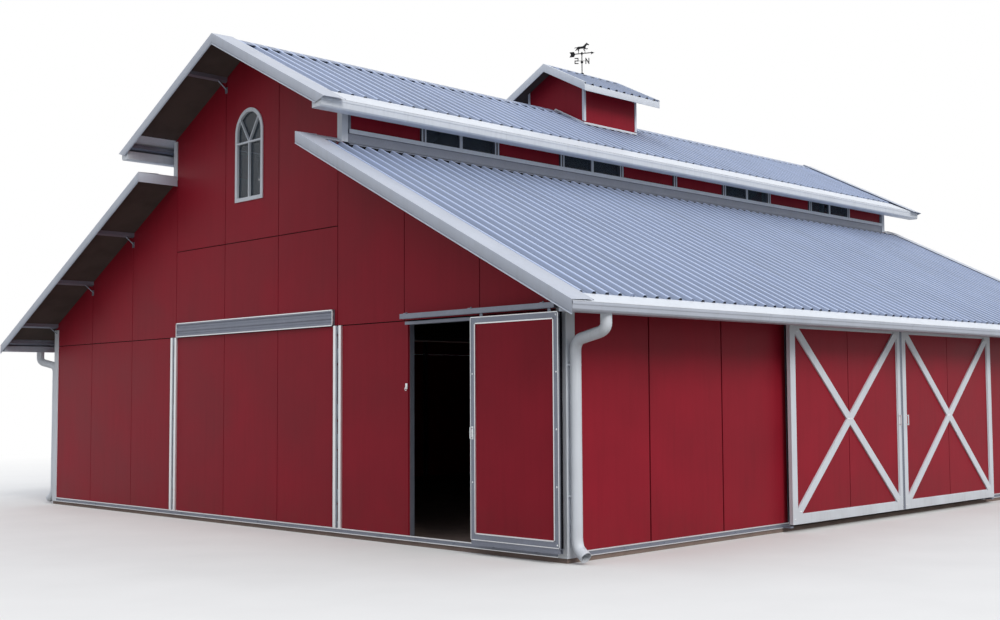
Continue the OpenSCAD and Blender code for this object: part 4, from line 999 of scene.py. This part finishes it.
class BARN_OT_small_door(bpy.types.Operator):
    """Lips, bolts and black strip of the small sliding door, bolts and lip of its track, ring of the latch;
    the lips paint a highlight and the strip a shadow
    """
    bl_idname = "barn.small_door"
    bl_label = "Small door"

    def leaf(self, s):
        """Lips and bolts on the leaf's frame, and a black strip beside its far edge that paints the shadow
        in the gap there; the lips are real folds whose brighter steel paints a highlight on the frame's
        edges.
        """
        panel_low, panel_high = extent("front_leaf_panel")
        frame_low, frame_high = extent("front_leaf_frame")
        left, right, face = frame_low[0], frame_high[0], frame_low[1]
        foot, head = panel_low[2] - LEAF_RIM, panel_high[2] + LEAF_RIM
        out = face - s.lip_out
        # Painted highlight: lips of bright steel on the galvanised frame
        inner = ring_of_boxes(panel_low - 0.001, panel_high + 0.001, s.lip, 1, out, face + 0.012)
        outer = ring_of_boxes([left, 0, foot], [right, 0, head], s.lip * 0.7, 1, out, face + 0.002)
        z = np.linspace(panel_low[2] - 0.03, panel_high[2] + 0.03, 5)
        bolts = [heads(*LEAF_BOLT, (0, -1, 0), left + 0.03, face, z[1:4]),
                 heads(*LEAF_BOLT, (0, -1, 0), right - 0.03, face, z)]
        build("small_leaf_lips_painted_highlight", [inner, outer, *bolts], "bright_steel", body="front_leaf")
        # Painted shadow: a black strip in the gap beside the leaf's far edge
        seal = boxes([right, face + 0.020, foot], [right + 0.010, face + 0.044, head])
        build("small_leaf_shadow_strip", [seal], "black_foam_and_painted_shade", body="front_leaf")

    def track(self):
        """Bolts on the track and the lip along its lower edge."""
        (x0, y, z0), (x1, _, z1) = extent("front_door_track")
        bolts = heads(*TRACK_BOLT, ALONG_Z, np.linspace(x0 + 0.08, x1 - 0.17, 3), y + 0.03, z1)
        lip = boxes([x0, y - 0.003, z0], [x1, y, z0 + 0.006])
        build("small_track_bolts", [bolts, lip], "galvanised_steel")

    def ring(self):
        """Oval ring of thin wire that hangs from the latch."""
        latch_low, latch_high = extent("door_latch")
        x, _, z = (latch_low + latch_high) / 2
        wire, half_w, half_h = 0.0028, 0.016, 0.020
        around = np.linspace(0, 2 * math.pi, 24, endpoint=False)[:, None]
        turn = np.linspace(0, 2 * math.pi, 8, endpoint=False)
        swell = 1 + wire * np.cos(turn) / ((half_w + half_h) / 2)
        vertices = at(x + half_w * swell * np.sin(around), latch_low[1] - 0.003 + wire * np.sin(turn),
                      z - 0.028 + half_h * swell * np.cos(around))
        faces = grid_faces(len(around) + 1, len(turn), wrap=True) % len(vertices)
        build("latch_ring", [(vertices, [faces])], "bright_steel")

    def execute(self, context):
        self.leaf(context.scene.barn_doors)
        self.track()
        self.ring()
        return {"FINISHED"}


class BARN_OT_side_doors(bpy.types.Operator):
    """Bolts, beads and meeting seals of the wide side doors, bolts and lip of their track"""
    bl_idname = "barn.side_doors"
    bl_label = "Side doors"

    def leaf(self, body, side, start, end, s):
        """Fittings of one leaf; its low side 0 or high side 1 meets the other leaf and holds the seal."""
        frame_low, frame_high = extent(body + "_frame")
        panel_low, panel_high = extent(body + "_panels")
        face = frame_high[0]
        meeting = (frame_low, frame_high)[side][1]
        y = np.array([frame_low[1] + 0.05, frame_high[1] - 0.05])
        z = np.array([panel_low[2] - 0.05, panel_high[2] + 0.05])
        places = [at(face, y[:, None], z), at(face, (y + [0.11, -0.11])[:, None], z + [0.09, -0.09]),
                  at(face, y.mean() + np.array([-0.03, 0.03]), z.mean())]
        bolts = scattered(bolt_template(*BRACE_BOLT), np.vstack(places), (1, 0, 0))
        build(body + "_bolts", [bolts], "bright_steel", body=body)
        beads = ring_of_boxes(panel_low, panel_high, s.lip, 0, face - 0.03, face - 0.012)
        build(body + "_beads", [beads], "white_enamel", body=body)
        seal = boxes([face - 0.002, meeting + start, panel_low[2] - 0.1],
                     [face + 0.003, meeting + end, panel_high[2] + 0.1])
        build(body + "_seal", [seal], "galvanised_steel", body=body)

    def execute(self, context):
        s = context.scene.barn_doors
        self.leaf("near_leaf", 1, -0.034, 0, s)
        self.leaf("far_leaf", 0, 0, 0.012, s)
        (_, y0, z0), (x, y1, z1) = extent("side_door_track")
        bolts = heads(*SIDE_TRACK_BOLT, ALONG_Z, HALF_W + 0.03, np.linspace(y0 + 0.12, y1 - 0.12, 7), z1)
        lip = boxes([x, y0, z0], [x + 0.003, y1, z0 + 0.006])
        build("side_track_bolts", [bolts, lip], "white_enamel")
        return {"FINISHED"}


class WindowSettings(bpy.types.PropertyGroup):
    """Sizes of the window trim."""
    fold: length("Post fold", "Width of the folds on the posts' edges", 0.024)
    post: length("Half post", "Half the width of a post", 0.05)


class BARN_OT_windows(bpy.types.Operator):
    """White folds, black boards of painted shade on the posts between them, and the white face of the sill
    along the raised side walls
    """
    bl_idname = "barn.windows"
    bl_label = "Windows"

    def execute(self, context):
        s = context.scene.barn_windows
        z0, z1 = low("clerestory_glass")[2], high("clerestory_glass")[2]
        top = z1 + 0.01
        sill = high("clerestory_frame_right")[0]
        face = sill - 0.02
        folds = [([sill, -HALF_L + 0.09, z0 - 0.05], [sill + 0.003, HALF_L - 0.09, z0 + 0.001])]
        painted_shade_boards = []
        for y in PANEL * np.arange(1, ROWS) - HALF_L:
            for a in (y - 0.012 - s.fold, y + 0.012):
                folds.append(([face - 0.002, a, z0], [face + 0.010, a + s.fold, top]))
            # Painted shade: a thin black board flat on the post between its folds, standing in for a recess
            painted_shade_boards.append(([face - 0.002, y - s.post, z0], [face + 0.002, y + s.post, top]))
        for y in PANEL * (np.array(MULLION_CELLS) + 0.5) - HALF_L:
            folds.append(([face - 0.006, y - 0.024, z0], [face + 0.002, y + 0.024, top]))
        build("post_folds", mirrored([boxes(*zip(*folds))], 0), "white_enamel")
        build("post_painted_shade", mirrored([boxes(*zip(*painted_shade_boards))], 0), "black_foam_and_painted_shade")
        return {"FINISHED"}


class CupolaSettings(bpy.types.PropertyGroup):
    """Sizes of the cupola's roof."""
    leg: length("Edge leg", "Width of the edge trim on the cupola's roof", 0.05)
    gauge: length("Edge thickness", "Thickness of the edge trim", 0.0015)


class BARN_OT_cupola(bpy.types.Operator):
    """Ribbed sheets, edge trim, ridge cap and lining of the cupola's roof"""
    bl_idname = "barn.cupola"
    bl_label = "Cupola roof"

    def execute(self, context):
        s, roof = context.scene.barn_cupola, context.scene.barn_roof
        out, reach, ridge = high("cupola_roof")
        edge = ridge - SLOPE * out - low("cupola_roof")[2]
        depth, inner = 0.025, reach - 0.012

        def top(x):
            """Height of the cupola roof's top at a distance from the middle."""
            return ridge - SLOPE * x

        path = slope_line(0.014, out - 0.004, top)
        sheets = [folded(bent(line, 0.003, 2), roof.gauge, path, ALONG_Y, NORMAL)
                  for line in sheet_lines(-inner, inner, depth - 0.001, roof)]
        cap = ridge_fold(0.08, 0.04, 0.007, [s.leg - reach, reach - s.leg], ridge + 0.003)
        build("cupola_sheets", mirrored(sheets, 0) + [cap], "roof_enamel", replaces=["cupola_roof"])
        line = [[s.leg, -0.006], [s.leg, 0.002], [0, 0.002], [0, 0.004 - edge], [0.006, 0.002 - edge]]
        x = np.array([-out, 0, out])
        rake = folded(bent(line, 0.002, 2), s.gauge, at(x, -reach, top(abs(x)) + 0.002), ALONG_Y)
        line = [[-0.04, -0.008], [0, -0.028], [0, 0.004 - edge], [-0.006, 0.002 - edge]]
        eave = folded(bent(line, 0.002, 2), -s.gauge, at(out, [0.002 - reach, reach - 0.002], top(out)))
        build("cupola_edges", mirrored([rake], 1) + mirrored([eave], 0), "white_enamel")
        lining = prism(rectangle(-inner, inner, -depth - 0.001, -depth + 0.001),
                       slope_line(0.014, out - 0.01, top), ALONG_Y, NORMAL)
        build("cupola_lining", mirrored([lining], 0), "underlay")
        return {"FINISHED"}


class StageSettings(bpy.types.PropertyGroup):
    """Camera, lights and floor."""
    lens: bpy.props.FloatProperty(name="Lens", description="Focal length in millimetres on a 36 mm sensor",
                                  default=45.808)
    place: bpy.props.FloatVectorProperty(name="Camera", description="Place of the camera", size=3,
                                         default=(13.9214, -14.8047, 1.5837), subtype="TRANSLATION")
    yaw: angle("Yaw", "Turn from +Y towards -X", 43.341)
    pitch: angle("Pitch", "Upward tilt", 3.601)
    roll: angle("Roll", "Turn about the line of sight", -0.519)
    shift: bpy.props.FloatVectorProperty(name="Shift", description="Shift of the lens in sensor widths",
                                         size=2, default=(-0.082018, 0.005252))
    sun: bpy.props.FloatProperty(name="Sun", description="Strength of the soft sun", default=1.55)
    zenith: bpy.props.FloatProperty(name="Zenith", description="Strength of the sky overhead", default=1.1)
    horizon: bpy.props.FloatProperty(name="Horizon", description="Strength of the sky at the horizon",
                                     default=0.36)


class BARN_OT_stage(bpy.types.Operator):
    """Camera of the photo, white surroundings, soft sun and pale floor"""
    bl_idname = "barn.stage"
    bl_label = "Stage"

    def camera(self, s):
        """Camera whose right, up and forward axes follow from yaw, pitch and roll."""
        forward = np.array([-math.sin(s.yaw) * math.cos(s.pitch), math.cos(s.yaw) * math.cos(s.pitch),
                            math.sin(s.pitch)])
        right = np.array([math.cos(s.yaw), math.sin(s.yaw), 0])
        up = np.cross(right, forward)
        c, n = math.cos(s.roll), math.sin(s.roll)
        right, up = c * right + n * up, c * up - n * right
        data = bpy.data.cameras.new("photo_camera")
        data.lens, data.sensor_width = s.lens, 36
        data.shift_x, data.shift_y = s.shift
        data.clip_end = 500
        rows = [[*row] for row in zip(right, up, -forward, s.place)]
        camera = added("photo_camera", data)
        camera.matrix_world = Matrix(rows + [[0, 0, 0, 1]])
        return camera

    def world(self, s):
        """White for the camera, reflections and glass; its light is dim low down and bright overhead."""
        world = bpy.data.worlds.new("white_surroundings")
        t = Shading(world, "Generated")
        ray = t.node("LightPath").outputs
        seen = t.math("MAXIMUM", ray["Is Camera Ray"], ray["Is Glossy Ray"])
        seen = t.math("MAXIMUM", seen, ray["Is Transmission Ray"])
        glow = t.node("Background", {"Color": linear("#F0F5FF"),
                                     "Strength": t.between(t.axis(2), 0, 1, s.horizon, s.zenith)})
        t.whitened("Background", "OutputWorld", seen, glow)
        return world

    def floor(self):
        """Pale floor that turns white with distance for the camera and throws less light back."""
        material = bpy.data.materials.new("pale_floor")
        t = Shading(material)
        ray = t.node("LightPath").outputs
        far = t.between(t.node("VectorMath", {0: t.place}, operation="LENGTH").outputs["Value"], 9, 22)
        pale = t.blend(t.noise(900, 4), linear("#E2E1DE"), linear("#ECEBE8"))
        matt = t.node("BsdfDiffuse", {"Color": t.blend(ray["Is Diffuse Ray"], pale, linear("#999893"))})
        t.whitened("Emission", "OutputMaterial", t.math("MULTIPLY", far, ray["Is Camera Ray"]), matt)
        mesh = bpy.data.meshes.new("floor")
        mesh.from_pydata(at([-120, 120, 120, -120], [-120, -120, 120, 120], -0.001), [], [[0, 1, 2, 3]])
        mesh.materials.append(material)
        return added("floor", mesh)

    def sun(self, s):
        """Wide soft sun over the corner between the door gable and the side doors."""
        data = bpy.data.lights.new("soft_sun", "SUN")
        data.energy, data.angle = s.sun, math.radians(28)
        data.color = (1.0, 0.97, 0.93)
        sun = added("soft_sun", data)
        sun.rotation_euler = Vector((-0.78, 0.19, -0.60)).to_track_quat("-Z", "Y").to_euler()
        return sun

    def execute(self, context):
        scene, s = context.scene, context.scene.barn_stage
        scene.camera = self.camera(s)
        scene.world = self.world(s)
        self.floor()
        self.sun(s)
        scene.view_settings.view_transform = "Standard"
        return {"FINISHED"}


SETTINGS = {"barn_materials": MaterialSettings, "barn_roof": RoofSettings, "barn_trim": TrimSettings,
            "barn_rain": RainSettings, "barn_walls": WallSettings, "barn_bay": BaySettings,
            "barn_doors": DoorSettings, "barn_windows": WindowSettings, "barn_cupola": CupolaSettings,
            "barn_stage": StageSettings}
OPERATORS = [BARN_OT_materials, BARN_OT_roof_sheets, BARN_OT_roof_trim, BARN_OT_rainwater, BARN_OT_walls,
             BARN_OT_centre_bay, BARN_OT_small_door, BARN_OT_side_doors, BARN_OT_windows, BARN_OT_cupola,
             BARN_OT_stage]


class BARN_PT_looks(bpy.types.Panel):
    """Lists the steps that draw the barn's looks"""
    bl_idname = "BARN_PT_looks"
    bl_label = "Barn looks"
    bl_space_type = "VIEW_3D"
    bl_region_type = "UI"
    bl_category = "Barn"

    def draw(self, context):
        for operator in OPERATORS:
            self.layout.operator(operator.bl_idname)
        for name, group in SETTINGS.items():
            box = self.layout.box()
            for key in group.__annotations__:
                box.prop(getattr(context.scene, name), key)


def register():
    """Registers the settings, the operators and the panel."""
    for name, group in SETTINGS.items():
        bpy.utils.register_class(group)
        setattr(bpy.types.Scene, name, bpy.props.PointerProperty(type=group))
    for operator in OPERATORS:
        bpy.utils.register_class(operator)
    bpy.utils.register_class(BARN_PT_looks)


def unregister():
    """Takes the panel, the operators and the settings out again."""
    bpy.utils.unregister_class(BARN_PT_looks)
    for operator in reversed(OPERATORS):
        bpy.utils.unregister_class(operator)
    for name, group in reversed(SETTINGS.items()):
        delattr(bpy.types.Scene, name)
        bpy.utils.unregister_class(group)


def main():
    """Registers the add-on and runs every step in order."""
    register()
    for operator in OPERATORS:
        group, step = operator.bl_idname.split(".")
        getattr(getattr(bpy.ops, group), step)()


if __name__ == "__main__":
    main()
